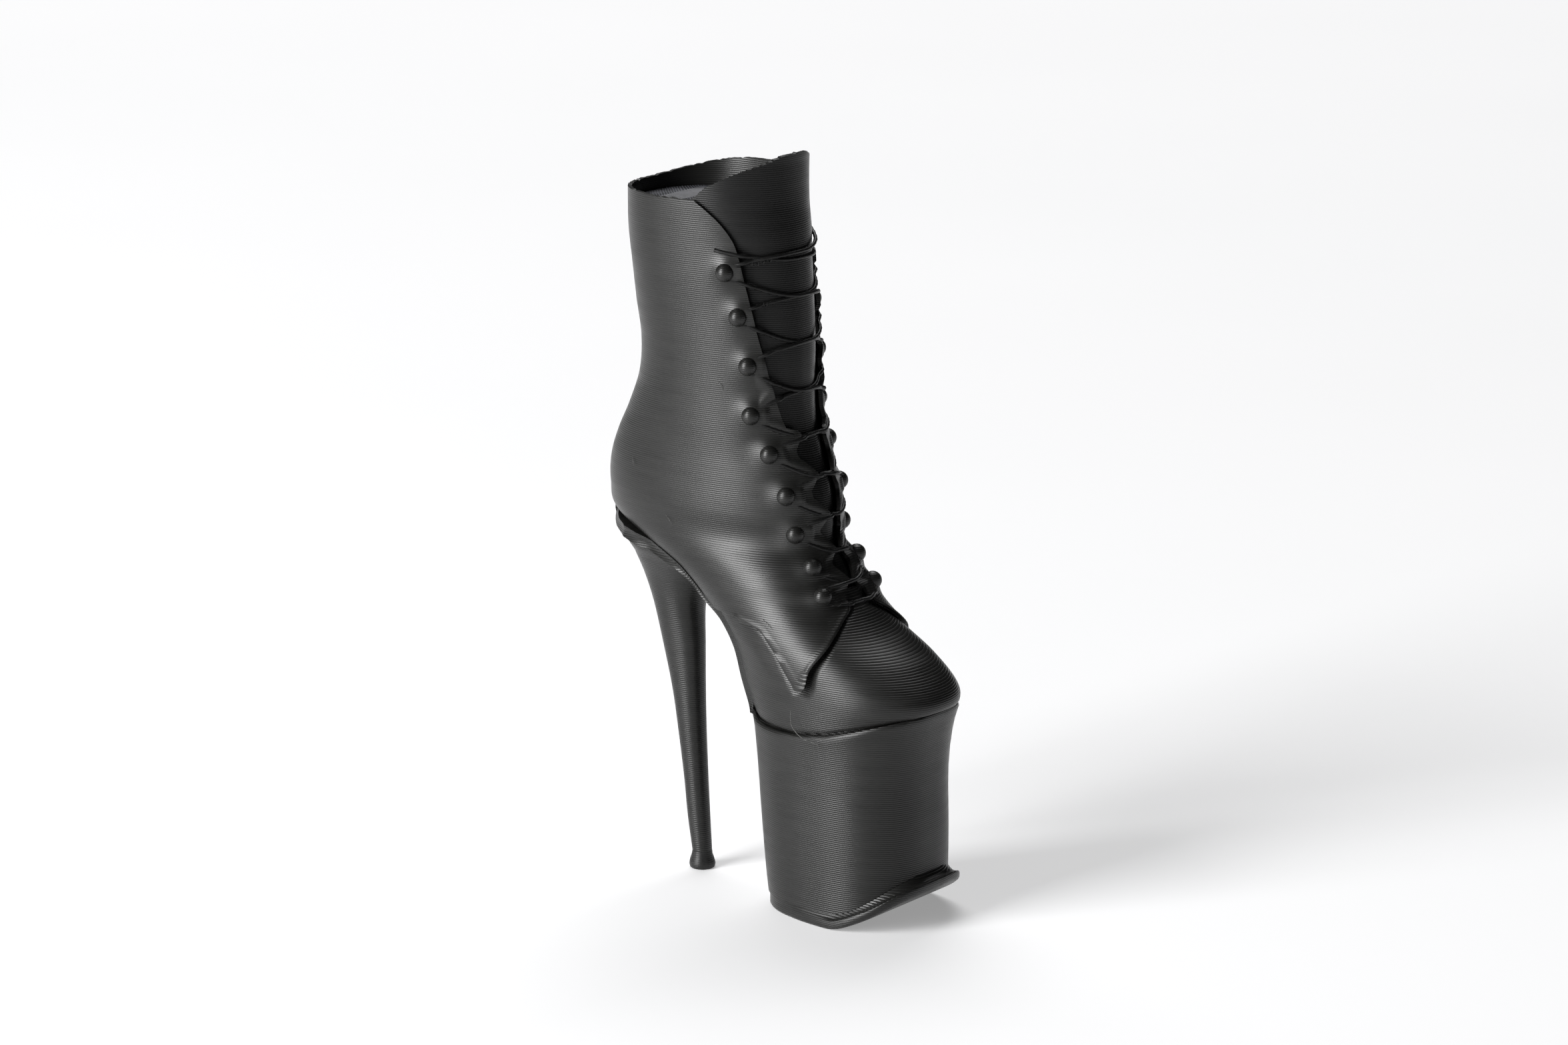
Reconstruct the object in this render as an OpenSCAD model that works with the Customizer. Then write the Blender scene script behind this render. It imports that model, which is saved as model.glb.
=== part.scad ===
// Miniature platform boot, built as a kit of separate pieces.
// Millimetres, +Z up, toe toward -Y, origin under the middle of the bounding box.
// Every shell follows one family of level outlines, so the pieces nest with a thin gap.

/* [Whole boot] */
// Height of the flat floor seen inside the shaft
floor_z = 74.7; // [72:0.1:75.5]
// Height of the shaft rim on the inner side
rim_z = 76.2; // [75.5:0.1:77]
// Extra rim height at the front of the outer side
rim_rise = 1.8; // [0:0.1:2]
// Height of the tongue tip
tongue_top = 81; // [79:0.1:82]

/* [Walls] */
// Wall thickness of the vamp, the tongue and the full part of a quarter
shell_t = 1.4; // [1:0.1:2]
// Thickness of a quarter where it laps over the vamp or tongue
lap_t = 0.45; // [0.4:0.05:0.6]
// Gap left between two touching shells
gap = 0.06; // [0.03:0.01:0.1]

/* [Lacing] */
// Radius of the dome of a lace hook
hook_r = 1; // [0.7:0.05:1.2]
// Height of the neck the lace runs round
neck_h = 0.62; // [0.5:0.02:0.9]
// Radius of that neck
neck_r = 0.42; // [0.3:0.02:0.5]
// Radius of the lace
lace_r = 0.22; // [0.15:0.01:0.3]
// Radius of the pin of a hook, held in the quarter
pin_r = 0.3; // [0.2:0.02:0.4]

/* [Sole stack] */
// Thickness of the outsole under the platform
outsole_t = 1.6; // [1.2:0.1:2.2]
// Radius of the pegs that join outsole, platform, sole board and core
peg_r = 1.2; // [0.8:0.1:1.6]
// Clearance round every peg and pin
peg_gap = 0.06; // [0.03:0.01:0.15]

/* [Heel] */
// Height of the separate heel tip
tip_h = 2; // [1.5:0.1:3]
// Widest radius of the heel tip
tip_r = 1.42; // [1.2:0.02:1.8]
// Distance of the heel axis behind the middle of the boot
heel_y = 11.1; // [10:0.1:12]

/* [Hidden] */
ink = [0.13, 0.13, 0.14];
ring_n = 44;

// Level outlines of the upper: height, front, back, half width,
// place of the widest point from back to front, roundness.
upper = [
  [20, -20.8, 1.8, 8.6, 0.50, 2.2],
  [22, -21.2, 2.4, 8.8, 0.50, 2.2],
  [25, -22.4, 4.0, 8.8, 0.53, 2.2],
  [28, -19.3, 4.8, 8.7, 0.52, 2.2],
  [31, -14.1, 6.8, 8.4, 0.53, 2.2],
  [34, -10.7, 10.0, 8.0, 0.53, 2.2],
  [37, -8.6, 15.4, 7.7, 0.55, 2.2],
  [40, -7.1, 21.7, 7.2, 0.52, 2.0],
  [43, -6.9, 22.3, 7.4, 0.50, 2.1],
  [46, -6.2, 22.0, 7.3, 0.50, 2.2],
  [49, -5.1, 20.9, 7.2, 0.50, 2.2],
  [52, -4.2, 19.3, 7.2, 0.50, 2.2],
  [56, -3.8, 17.6, 7.2, 0.48, 2.2],
  [60, -3.8, 17.2, 7.3, 0.46, 2.2],
  [64, -3.6, 17.7, 7.5, 0.44, 2.2],
  [68, -3.3, 18.0, 7.8, 0.42, 2.2],
  [72, -2.9, 18.4, 8.0, 0.42, 2.2],
  [76, -2.4, 18.3, 8.2, 0.42, 2.2],
  [82, -2.4, 18.3, 8.3, 0.42, 2.2]
];
// Level outlines of the platform block.
block = [
  [0, -20.0, -1.0, 8.0, 0.50, 2.5],
  [4, -20.0, -0.4, 8.0, 0.50, 2.5],
  [10, -20.0, 0.2, 8.1, 0.50, 2.5],
  [16, -19.9, 0.7, 8.2, 0.50, 2.5],
  [20, -20.3, 1.1, 8.4, 0.50, 2.5],
  [24, -21.3, 1.5, 8.6, 0.50, 2.5]
];
// Level outlines of the heel.
spike = [
  [2, 10.05, 12.15, 1.05, 0.5, 2.2],
  [6, 10.3, 12.8, 1.15, 0.5, 2.2],
  [10, 10.55, 13.2, 1.25, 0.5, 2.2],
  [15, 10.8, 13.9, 1.4, 0.5, 2.2],
  [20, 10.95, 14.7, 1.6, 0.5, 2.2],
  [25, 11.0, 15.9, 1.9, 0.5, 2.2],
  [30, 11.1, 17.1, 2.5, 0.5, 2.2],
  [33, 10.3, 18.1, 3.3, 0.5, 2.2],
  [35, 9.1, 19.0, 4.2, 0.5, 2.2],
  [37, 7.8, 20.2, 4.9, 0.5, 2.2]
];
// Underside of the foot in side view, heel to toe: y, z, forefoot half width, board thickness.
sole = [
  [22, 40.4, 1.2, 0.5],
  [21.3, 39.6, 3, 0.85],
  [19.9, 39, 4.6, 1.1],
  [17.7, 38.7, 5.4, 1.3],
  [15.8, 38.3, 5.8, 1.4],
  [13.7, 37.8, 5.9, 1.25],
  [11.4, 37.15, 5.8, 1.1],
  [8.9, 36.2, 5.6, 0.85],
  [7.4, 34.9, 5.4, 0.6],
  [6.1, 33.4, 5.2, 0.5],
  [4.6, 32.2, 5.1, 0.45],
  [3.2, 31, 5, 0.45],
  [2.4, 29.8, 5.1, 0.45],
  [1.8, 28.4, 5.2, 0.45],
  [1.3, 26.5, 5.4, 0.45],
  [0.8, 24.5, 5.4, 0.45],
  [0.2, 22.8, 5.3, 0.45],
  [-0.6, 21.5, 5.4, 0.5],
  [-2, 20.9, 6.4, 0.5],
  [-4.2, 20.8, 7.2, 0.5],
  [-8, 20.85, 7.8, 0.5],
  [-12, 21.4, 7.7, 0.5],
  [-15, 22.2, 7, 0.5],
  [-17.6, 23, 5.7, 0.5],
  [-19.6, 23.6, 3.8, 0.5],
  [-20.6, 23.9, 1.6, 0.5]
];
arch_n = 17;
// Rise of the outsole underside toward the toe: distance in front, height.
spring = [
  [-30, 0],
  [12.2, 0],
  [13.5, 0.15],
  [15, 0.7],
  [17.2, 1.8],
  [19.8, 3.5],
  [22.8, 5.5]
];
// Hooks from top to bottom: height, angle from the front.
hooks = [
  [68.8, 58], [64.1, 53.8], [58.9, 50.6], [53.6, 49.4], [49.5, 40.4],
  [45.2, 35.2], [41.1, 32], [37.7, 28], [34.9, 30.4]
];
// Front edge of a quarter: height, angle from the front.
lace_edge = [
  [25.6, 91.5],
  [28.4, 76],
  [30.9, 46],
  [32.6, 26],
  [33.6, 14],
  [34.6, 12],
  [37.6, 12],
  [41, 14],
  [45, 16],
  [49.4, 20],
  [53.4, 28],
  [58.7, 38],
  [62.2, 43],
  [67.2, 47],
  [71.6, 51],
  [73.8, 58],
  [75.4, 67],
  [76.3, 73],
  [82, 90]
];
// Lower back edge of the wing: height, angle.
wing_edge = [
  [25.6, 94],
  [28, 94],
  [30.2, 92],
  [31.4, 93],
  [32, 104]
];
// Tongue top edge: angle from the front, height.
tongue_edge = [
  [0, 81],
  [12, 80.9],
  [28, 80.1],
  [43, 79.4],
  [54, 78.6],
  [66, 77.6],
  [78, 75.8],
  [95, 74.6]
];

// Smooth value of column c of a table at key z.
function slope_at(t, j, c) =
  let(a = max(j - 1, 0), b = min(j + 1, len(t) - 1)) (t[b][c] - t[a][c]) / (t[b][0] - t[a][0]);
function seg(t, z, i = 0) = (i >= len(t) - 2 || z < t[i + 1][0]) ? i : seg(t, z, i + 1);
function smooth(t, z0, c) =
  let(
    z = min(max(z0, t[0][0]), t[len(t) - 1][0]),
    i = seg(t, z),
    h = t[i + 1][0] - t[i][0],
    u = (z - t[i][0]) / h
  )
  (2 * u * u * u - 3 * u * u + 1) * t[i][c] + (u * u * u - 2 * u * u + u) * h * slope_at(t, i, c)
  + (3 * u * u - 2 * u * u * u) * t[i + 1][c] + (u * u * u - u * u) * h * slope_at(t, i + 1, c);
function level(t, z) = [for (c = [1:5]) smooth(t, z, c)];
function power(v, e) = sign(v) * pow(abs(v), e);

// Point of a level outline q at angle a from the front, moved out by o.
function outline(q, a, o) =
  let(yc = q[1] + (q[0] - q[1]) * q[3], s = sin(a), c = cos(a))
  [(q[2] + o) * power(s, 2 / q[4]), yc + (c > 0 ? (q[0] - o - yc) : (yc - q[1] - o)) * power(c, 2 / q[4])];
function at(t, a, z, o) = let(p = outline(level(t, z), a, o)) [p[0], p[1], z];
// Angle at which an outline reaches a given y.
function angle_of(q, y) =
  let(yc = q[1] + (q[0] - q[1]) * q[3], f = (y - yc) / (y < yc ? q[0] - yc : q[1] - yc))
  y < yc ? acos(pow(min(f, 1), q[4] / 2)) : 180 - acos(pow(min(f, 1), q[4] / 2));

// Foot underside read either way.
function sole_y(z) = lookup(z, [for (i = [0:arch_n]) [sole[i][1], sole[i][0]]]);
function sole_z(y) = lookup(y, [for (i = [arch_n:len(sole) - 1]) [sole[i][0], sole[i][1]]]);
function rise(y) = max(smooth(spring, -y, 1), 0);
function fillet(y) = 0.8 * max(0, min(1, (-y - 15) / 5));

// Closed loft through rings of equal count, mirror-symmetric, with strip caps.
module loft(rings) {
  n = len(rings[0]);
  m = len(rings);
  h = n / 2;
  polyhedron(
    points = [for (r = rings) each r],
    faces = [
      for (r = [0:m - 2], i = [0:n - 1]) [r * n + i, (r + 1) * n + i, (r + 1) * n + (i + 1) % n],
      for (r = [0:m - 2], i = [0:n - 1]) [r * n + i, (r + 1) * n + (i + 1) % n, r * n + (i + 1) % n],
      for (i = [0:h - 1]) [i, i + 1, (n - i - 1)],
      for (i = [1:h - 1]) [i, (n - i - 1), (n - i)],
      for (i = [0:h - 1]) let(b = (m - 1) * n) [b + i, b + n - i - 1, b + i + 1],
      for (i = [1:h - 1]) let(b = (m - 1) * n) [b + i, b + n - i, b + n - i - 1]
    ]
  );
}

// Shell between an outer and an inner sheet of rows.
module shell(outer, inner) {
  m = len(outer);
  n = len(outer[0]);
  k = m * n;
  polyhedron(
    points = concat([for (r = outer) each r], [for (r = inner) each r]),
    faces = [
      for (r = [0:m - 2], i = [0:n - 2]) each [
        [r * n + i, (r + 1) * n + i, (r + 1) * n + i + 1],
        [r * n + i, (r + 1) * n + i + 1, r * n + i + 1],
        [k + r * n + i, k + (r + 1) * n + i + 1, k + (r + 1) * n + i],
        [k + r * n + i, k + r * n + i + 1, k + (r + 1) * n + i + 1]
      ],
      for (i = [0:n - 2]) each [
        [i, i + 1, k + i + 1],
        [i, k + i + 1, k + i],
        [(m - 1) * n + i, k + (m - 1) * n + i + 1, (m - 1) * n + i + 1],
        [(m - 1) * n + i, k + (m - 1) * n + i, k + (m - 1) * n + i + 1]
      ],
      for (r = [0:m - 2]) each [
        [r * n, k + r * n, k + (r + 1) * n],
        [r * n, k + (r + 1) * n, (r + 1) * n],
        [r * n + n - 1, k + (r + 1) * n + n - 1, k + r * n + n - 1],
        [r * n + n - 1, (r + 1) * n + n - 1, k + (r + 1) * n + n - 1]
      ]
    ]
  );
}

// Closed ring of an outline, its height set point by point by a rule of y.
function ring(t, zn, o, lift) =
  [for (i = [0:ring_n - 1]) let(p = at(t, 360 * i / ring_n, zn, o)) [p[0], p[1], zn + lift[i]]];

// ---- sole stack ----

// How far the outsole stands out past the block toward the toe.
function proud(y) = 1.1 * max(0, min(1, (-y - 7) / 11));
function sole_ring(o, dz, full) = [
  for (i = [0:ring_n - 1])
    let(
      a = 360 * i / ring_n,
      p0 = at(block, a, 0, 0),
      p = full ? at(block, a, 0, 0.02) : at(block, a, 0, proud(p0[1]) + o)
    )
    [p[0], p[1], rise(p[1]) + dz + (full ? fillet(p[1]) : 0)]
];
peg_ys = [-5, -13];

module outsole() {
  color(ink) {
    loft([
      sole_ring(-0.4, 0, false),
      sole_ring(0, 0.35, false),
      sole_ring(0, 0.9, false),
      sole_ring(-0.2, 1.15, false),
      sole_ring(0, outsole_t - 0.05, true)
    ]);
    for (y = [-4, -10]) translate([0, y, 1]) cylinder(r = peg_r, h = 4, $fn = 48);
  }
}

block_rows = [0, 0.06, 0.18, 0.36, 0.55, 0.75, 0.9, 1];

module platform() {
  color(ink) difference() {
    union() {
      loft([
        for (v = block_rows)
          let(zn = outsole_t + v * (20 - outsole_t))
          [
            for (i = [0:ring_n - 1])
              let(
                a = 360 * i / ring_n,
                y0 = at(block, a, zn, 0)[1],
                low = rise(y0) + fillet(y0) + outsole_t,
                high = sole_z(y0) - 0.5 - gap,
                z1 = low + v * (high - low),
                p = at(block, a, z1, 0)
              )
              v == 0 ? [p[0], p[1], rise(p[1]) + fillet(p[1]) + outsole_t]
              : (v == 1 ? [p[0], p[1], sole_z(p[1]) - 0.5 - gap] : p)
          ]
      ]);
      for (y = peg_ys) translate([0, y, 18]) cylinder(r = peg_r, h = 7.5, $fn = 48);
    }
    for (y = [-4, -10]) translate([0, y, 0]) cylinder(r = peg_r + peg_gap, h = 5.3, $fn = 48);
  }
}

// Half width of the board: the foot's own width behind the ball, then the table's.
function board_w(i) =
  let(s = sole[i], q = level(upper, s[1])) i > arch_n ? s[2] : max(1, outline(q, angle_of(q, s[0]), 0)[0]);

// Unit normal of the underside curve at station i, pointing away from the foot.
function sole_dir(i) =
  let(
    a = sole[max(i - 1, 0)],
    b = sole[min(i + 1, len(sole) - 1)],
    d = [b[0] - a[0], b[1] - a[1]],
    l = norm(d)
  )
  [-d[1] / l, d[0] / l];

module sole_board() {
  m = len(sole);
  color(ink) difference() {
    polyhedron(
      points = [
        for (i = [0:m - 1])
          let(s = sole[i], d = sole_dir(i), e = s[0] + d[0] * s[3], f = s[1] + d[1] * s[3], w = board_w(i))
          each [
            [w, s[0], s[1]],
            [-w, s[0], s[1]],
            [-w + 0.2, e, f],
            [w - 0.2, e, f]
          ]
      ],
      faces = [
        for (i = [0:m - 2], j = [0:3]) each [
          [4 * i + j, 4 * i + (j + 1) % 4, 4 * i + 4 + (j + 1) % 4],
          [4 * i + j, 4 * i + 4 + (j + 1) % 4, 4 * i + 4 + j]
        ],
        [0, 2, 1],
        [0, 3, 2],
        [4 * m - 4, 4 * m - 3, 4 * m - 2],
        [4 * m - 4, 4 * m - 2, 4 * m - 1]
      ]
    );
    for (y = peg_ys) translate([0, y, 15]) cylinder(r = peg_r + peg_gap, h = 12, $fn = 48);
    translate([0, 14, 32]) cylinder(r = peg_r + peg_gap, h = 12, $fn = 48);
  }
}

// ---- heel ----

// Underside of the board above the heel.
function seat_z(y) = lookup(y, [
  for (i = [10:-1:0]) let(s = sole[i], d = sole_dir(i)) [s[0] + d[0] * s[3], s[1] + d[1] * s[3] - gap]
]);
heel_rows = [2.05, 4, 6.5, 9, 12, 15, 18, 21, 24, 27, 29.5, 31.5];

module heel_stem() {
  color(ink) difference() {
    union() {
      loft([
        for (z = heel_rows) ring(spike, z, 0, [for (i = [0:ring_n - 1]) 0]),
        for (v = [0.3, 0.55, 0.8, 1])
          [
            for (i = [0:ring_n - 1])
              let(
                a = 360 * i / ring_n,
                zn = 31.5 + v * 5.5,
                p0 = at(spike, a, zn, 0),
                z1 = 31.5 + v * (seat_z(p0[1]) - 31.5),
                q = at(spike, a, zn, 0)
              )
              [q[0], q[1], v == 1 ? seat_z(q[1]) : z1]
          ]
      ]);
      translate([0, 14, 32]) cylinder(r = peg_r, h = 9, $fn = 48);
    }
    translate([0, heel_y, 1]) cylinder(r = 0.5 + peg_gap, h = 4.2, $fn = 48);
  }
}

module heel_tip() {
  color(ink) translate([0, heel_y, 0]) {
    rotate_extrude($fn = 48)
      polygon([
        [0, 0],
        [1.0, 0],
        [tip_r, 0.4],
        [tip_r, 0.75],
        [1.15, 1.5],
        [1.05, tip_h],
        [0, tip_h]
      ]);
    translate([0, 0, 1]) cylinder(r = 0.5, h = 4, $fn = 48);
  }
}

// ---- core ----

core_rows = [21.2, 22.2, 23.5, 25, 26.5, 28.4, 29.8, 31, 32.2, 33.4, 34.9, 36.2, 37.15, 37.8, 38.3,
  38.7, 39, 39.6, 40.4, 43, 46, 49, 52, 56, 60, 64, 68, 72, floor_z];
core_in = shell_t + gap;

// Height of a level that starts along the seam at the toe and ends flat.
function tilt(zn, y) = zn + max(0, min(1, (32 - zn) / 10.8)) * max(0, sole_z(y) + 0.25 - 21.2);

// Value held short of a limit by a soft stop.
function soft_stop(y, lim) = let(u = (y - lim + 1.5) / 1.5) u <= 0 ? y : lim - 1.5 + 1.5 * u / (1 + u);

module core() {
  color(ink) difference() {
    loft([
      for (zn = core_rows)
        [
          for (i = [0:ring_n - 1])
            let(
              a = 360 * i / ring_n,
              y0 = at(upper, a, zn, -core_in)[1],
              z1 = y0 < 0 ? tilt(zn, y0) : zn,
              p = at(upper, a, z1, -core_in),
              lim = zn < 39.1 ? sole_y(z1) - gap : 99
            )
            [p[0], soft_stop(p[1], lim), p[2]]
        ]
    ]);
    for (y = peg_ys) translate([0, y, 15]) cylinder(r = peg_r + peg_gap, h = 11, $fn = 48);
    translate([0, 14, 32]) cylinder(r = peg_r + peg_gap, h = 9.5, $fn = 48);
  }
}

// ---- vamp ----

vamp_rows = [0, 0.08, 0.18, 0.3, 0.42, 0.54, 0.66, 0.78, 0.9, 1];
vamp_out = -lap_t - gap;
function vamp_top(a) = 32 + 3.2 * max(0, 1 - (a / 60) * (a / 60));

function vamp_sheet(o) = [
  for (v = vamp_rows)
    let(
      zn = 21 + v * 11,
      end = angle_of(level(upper, zn), sole_y(zn) - gap)
    )
    [
      for (j = [-22:22])
        let(
          a = end * j / 22,
          y0 = at(upper, a, zn, o)[1],
          low = y0 < 0.3 ? sole_z(y0) + gap : 21,
          z1 = low + v * (vamp_top(abs(a)) - low),
          p = at(upper, a, z1, o)
        )
        v == 0 ? [p[0], p[1], p[1] < 0.3 ? sole_z(p[1]) + gap : 21.7] : p
    ]
];

module vamp() {
  color(ink) shell(vamp_sheet(vamp_out), vamp_sheet(-shell_t));
}

// ---- quarters ----

quarter_rows = [25.7, 26.6, 27.5, 28.4, 29.3, 30.2, 30.9, 31.4, 31.8, 32.2, 32.6, 33.4, 34.2, 34.9, 35.6,
  36.2, 37.15, 37.8, 38.3, 38.7, 39, 39.6, 40.4, 41.6, 43, 44.4, 45.8, 47.2, 48.6, 50, 51.4, 53,
  55, 57, 59, 61, 63, 65, 67, 69, 71, 72.5, 73.8, 74.8, 75.6, 76.2];
flap = 10;

// Points of the flaps that reach in between two hooks.
function flap_at(z) =
  z < 35 || z > 52 ? 0 : flap * max([for (k = [3:7]) max(0, 1 - abs(z - (hooks[k][0] + hooks[k + 1][0]) / 2) / 1.6)]);
function edge_a(z) = smooth(lace_edge, z, 1) - (z > 35 ? flap_at(z) : 0);
function back_a(z) =
  z < 32.1 ? smooth(wing_edge, z, 1) : (z < 39.15 ? angle_of(level(upper, z), sole_y(z) - gap) : 179.6);
// End of the thin part that laps over the vamp or the tongue.
function lap_a(z) =
  z < 35.3 ? 62 * sqrt(max(0, 1 - (z - 32) / 3.4)) + 6 : smooth(lace_edge, z, 1) + 16;
function lap_end(z) = z < 32.1 ? (edge_a(z) + back_a(z)) / 2 : max(lap_a(z), edge_a(z) + 4);
function full_t(z) = z < 32.1 ? lap_t : (z < 32.5 ? lap_t : (z > 74.9 ? lap_t : shell_t));
function rim(a, z, extra) = z > 72 ? z + extra * (z - 72) / 4.2 * max(0, sin(a)) : z;

function quarter_sheet(inner, extra) = [
  for (z = quarter_rows)
    let(a0 = edge_a(z), a1 = back_a(z), al = lap_end(z), q = level(upper, z))
    [
      for (j = [0:5])
        let(a = a0 + (al - a0) * j / 5, p = outline(q, a, inner ? -lap_t : 0)) [p[0], p[1], rim(a, z, extra)],
      for (j = [0:16])
        let(
          a = al + 0.4 + (a1 - al - 0.4) * j / 16,
          p = outline(q, a, inner ? -full_t(z) : 0)
        )
        [p[0], p[1], rim(a, z, extra)]
    ]
];

// Local frame of a hook: centre, outward normal.
function hook_c(k) = at(upper, hooks[k][1], hooks[k][0], 0);
function hook_n(k) =
  let(
    a = hooks[k][1],
    z = hooks[k][0],
    da = at(upper, a + 1, z, 0) - at(upper, a - 1, z, 0),
    dz = at(upper, a, z + 0.4, 0) - at(upper, a, z - 0.4, 0),
    n = cross(da, dz)
  )
  n / norm(n);

module on_quarter(k) {
  n = hook_n(k);
  translate(hook_c(k)) rotate([0, acos(n[2]), atan2(n[1], n[0])]) children();
}

module quarter(extra) {
  color(ink) difference() {
    shell(quarter_sheet(false, extra), quarter_sheet(true, extra));
    for (k = [0:8]) on_quarter(k) translate([0, 0, -0.8]) cylinder(r = pin_r + peg_gap, h = 2, $fn = 24);
  }
}

module hook(k) {
  color(ink) on_quarter(k) {
    translate([0, 0, -0.36]) cylinder(r = pin_r, h = 0.6, $fn = 24);
    translate([0, 0, 0.12]) cylinder(r = neck_r, h = neck_h, $fn = 24);
    difference() {
      translate([0, 0, neck_h]) sphere(r = hook_r, $fn = 32);
      translate([-2, -2, neck_h - 3.95]) cube([4, 4, 4]);
    }
  }
}

// ---- tongue ----

tongue_rows = [35.7, 36.8, 38, 39.5, 41, 43, 45, 47, 49, 51, 53, 55.5, 58, 61, 64, 67, 70, 72, 73.6, 74.4];
tongue_out = -lap_t - gap;
function tongue_a(z) = smooth(lace_edge, z, 1) + 12;

function tongue_sheet(inner) = [
  for (z = tongue_rows)
    let(q = level(upper, z), w = min(tongue_a(z), 74))
    [for (j = [-9:9]) let(p = outline(q, w * j / 9, inner ? -shell_t : tongue_out)) [p[0], p[1], z]],
  for (v = [0.08, 0.25, 0.45, 0.65, 0.82, 0.93, 1])
    [
      for (j = [-9:9])
        let(
          w = 74,
          a = w * j / 9,
          z = 74.4 + v * (smooth(tongue_edge, abs(a), 1) - 74.4),
          p = outline(level(upper, z), a, inner ? tongue_out - lap_t : tongue_out)
        )
        [p[0], p[1], z]
    ]
];

module tongue() {
  color(ink) shell(tongue_sheet(false), tongue_sheet(true));
}

// ---- lace ----

lay = lace_r + 0.14;
wrap = neck_r + lace_r + 0.05;

function side_pt(p, s) = [s * p[0], p[1], p[2]];
// Points of the lace round hook k on side s, from angle u to angle v in the hook's plane.
function round_hook(k, s, u, v) =
  let(
    c = hook_c(k),
    n = hook_n(k),
    e_in = cross([0, 0, 1], n) * -1,
    e1 = e_in / norm(e_in),
    e2 = cross(e1, n) * -1
  )
  [
    for (j = [0:6])
      let(t = u + (v - u) * j / 6, p = c + wrap * (cos(t) * e1 + sin(t) * (e2[2] > 0 ? e2 : -e2)) + lay * n)
      [side_pt(p, s), side_pt(n, s)]
  ];
function skin(a, z, o) =
  let(
    p = at(upper, a, z, o),
    da = at(upper, a + 1, z, 0) - at(upper, a - 1, z, 0),
    dz = at(upper, a, z + 0.4, 0) - at(upper, a, z - 0.4, 0),
    n = cross(da, dz)
  )
  [p, n / norm(n)];
// The lace lies on the quarter, then steps down to the tongue inside the quarter's edge.
bend = 1.9;
function step_down(d) = let(u = max(0, min(1, d / 7))) (3 - 2 * u) * u * u * (lap_t + gap + 0.04);
// Strand from angle and height to angle and height, lifted at its middle by hump.
function strand(a0, z0, a1, z1, hump) = [
  for (j = [1:17])
    let(
      t = j / 18,
      w = abs(2 * t - 1),
      u = max(0, min(1, (w - 0.6) / 0.35)),
      a = a0 + (a1 - a0) * t,
      z = z0 + (z1 - z0) * (0.5 + 0.5 * sign(t - 0.5) * pow(w, bend)) - 0.3 * sin(180 * t)
    )
    skin(a, z, lay + hump * (1 - u * u * (3 - 2 * u)) - step_down(edge_a(z) - 2 - abs(a)))
];

// The lace runs down hook to hook, over the bottom and back up.
down = [for (k = [0:8]) [k, k % 2 == 0 ? 1 : -1]];
up = [for (k = [8:-1:0]) [k, k % 2 == 0 ? -1 : 1]];
function leg(list, dir, hump) = [
  for (i = [0:len(list) - 1])
    let(k = list[i][0], s = list[i][1], h = hooks[k])
    each concat(
      round_hook(k, s, 80 * -dir, (360 - 80) * -dir),
      i < len(list) - 1
      ? let(g = hooks[list[i + 1][0]])
        strand(s * (h[1] - 3), h[0] + dir * wrap, -s * (g[1] - 3), g[0] - dir * wrap, hump)
      : []
    )
];
lace_path = concat(
  strand(-66, 71.2, 55, 69.4, 0),
  leg(down, -1, 0),
  strand(hooks[8][1] - 3, hooks[8][0] - wrap, -hooks[8][1] + 3, hooks[8][0] - wrap, 0),
  leg(up, 1, 2 * lace_r + 0.1),
  strand(-hooks[0][1] + 3, hooks[0][0] + wrap, 50, 72.6, 2 * lace_r + 0.1)
);

module lace() {
  m = len(lace_path);
  k = 6;
  color(ink) polyhedron(
    points = [
      for (i = [0:m - 1])
        let(
          a = lace_path[max(i - 1, 0)][0],
          b = lace_path[min(i + 1, m - 1)][0],
          t = (b - a) / norm(b - a),
          s0 = cross(t, lace_path[i][1]),
          s = s0 / norm(s0),
          r = cross(s, t)
        )
        for (j = [0:k - 1]) lace_path[i][0] + lace_r * (cos(360 * j / k) * s + sin(360 * j / k) * r)
    ],
    faces = [
      for (i = [0:m - 2], j = [0:k - 1]) each [
        [i * k + j, i * k + (j + 1) % k, (i + 1) * k + (j + 1) % k],
        [i * k + j, (i + 1) * k + (j + 1) % k, (i + 1) * k + j]
      ],
      for (j = [1:k - 2]) [0, j + 1, j],
      for (j = [1:k - 2]) [(m - 1) * k, (m - 1) * k + j, (m - 1) * k + j + 1]
    ]
  );
}

outsole();
platform();
sole_board();
heel_stem();
heel_tip();
core();
vamp();
tongue();
mirror([1, 0, 0]) quarter(0);  // quarter_inner
quarter(rim_rise);  // quarter_outer
lace();
for (k = [1:9]) {
  mirror([1, 0, 0]) hook(k - 1);
  hook(k - 1);
}
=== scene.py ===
"""Looks of the miniature platform boot: a black plastic print of a lace-up boot on a tall sole.

The boot is one family of level outlines, so its shells, core and lace are lofted from the same
form and dressed as layered plastic. Sizes are in millimetres until a mesh is made.
"""

import logging
import math
from dataclasses import dataclass, field
from enum import Enum
from typing import Any, Callable, Iterable, Sequence

import bmesh
import bpy
from mathutils import Matrix, Vector, noise
from mathutils.kdtree import KDTree


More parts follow.
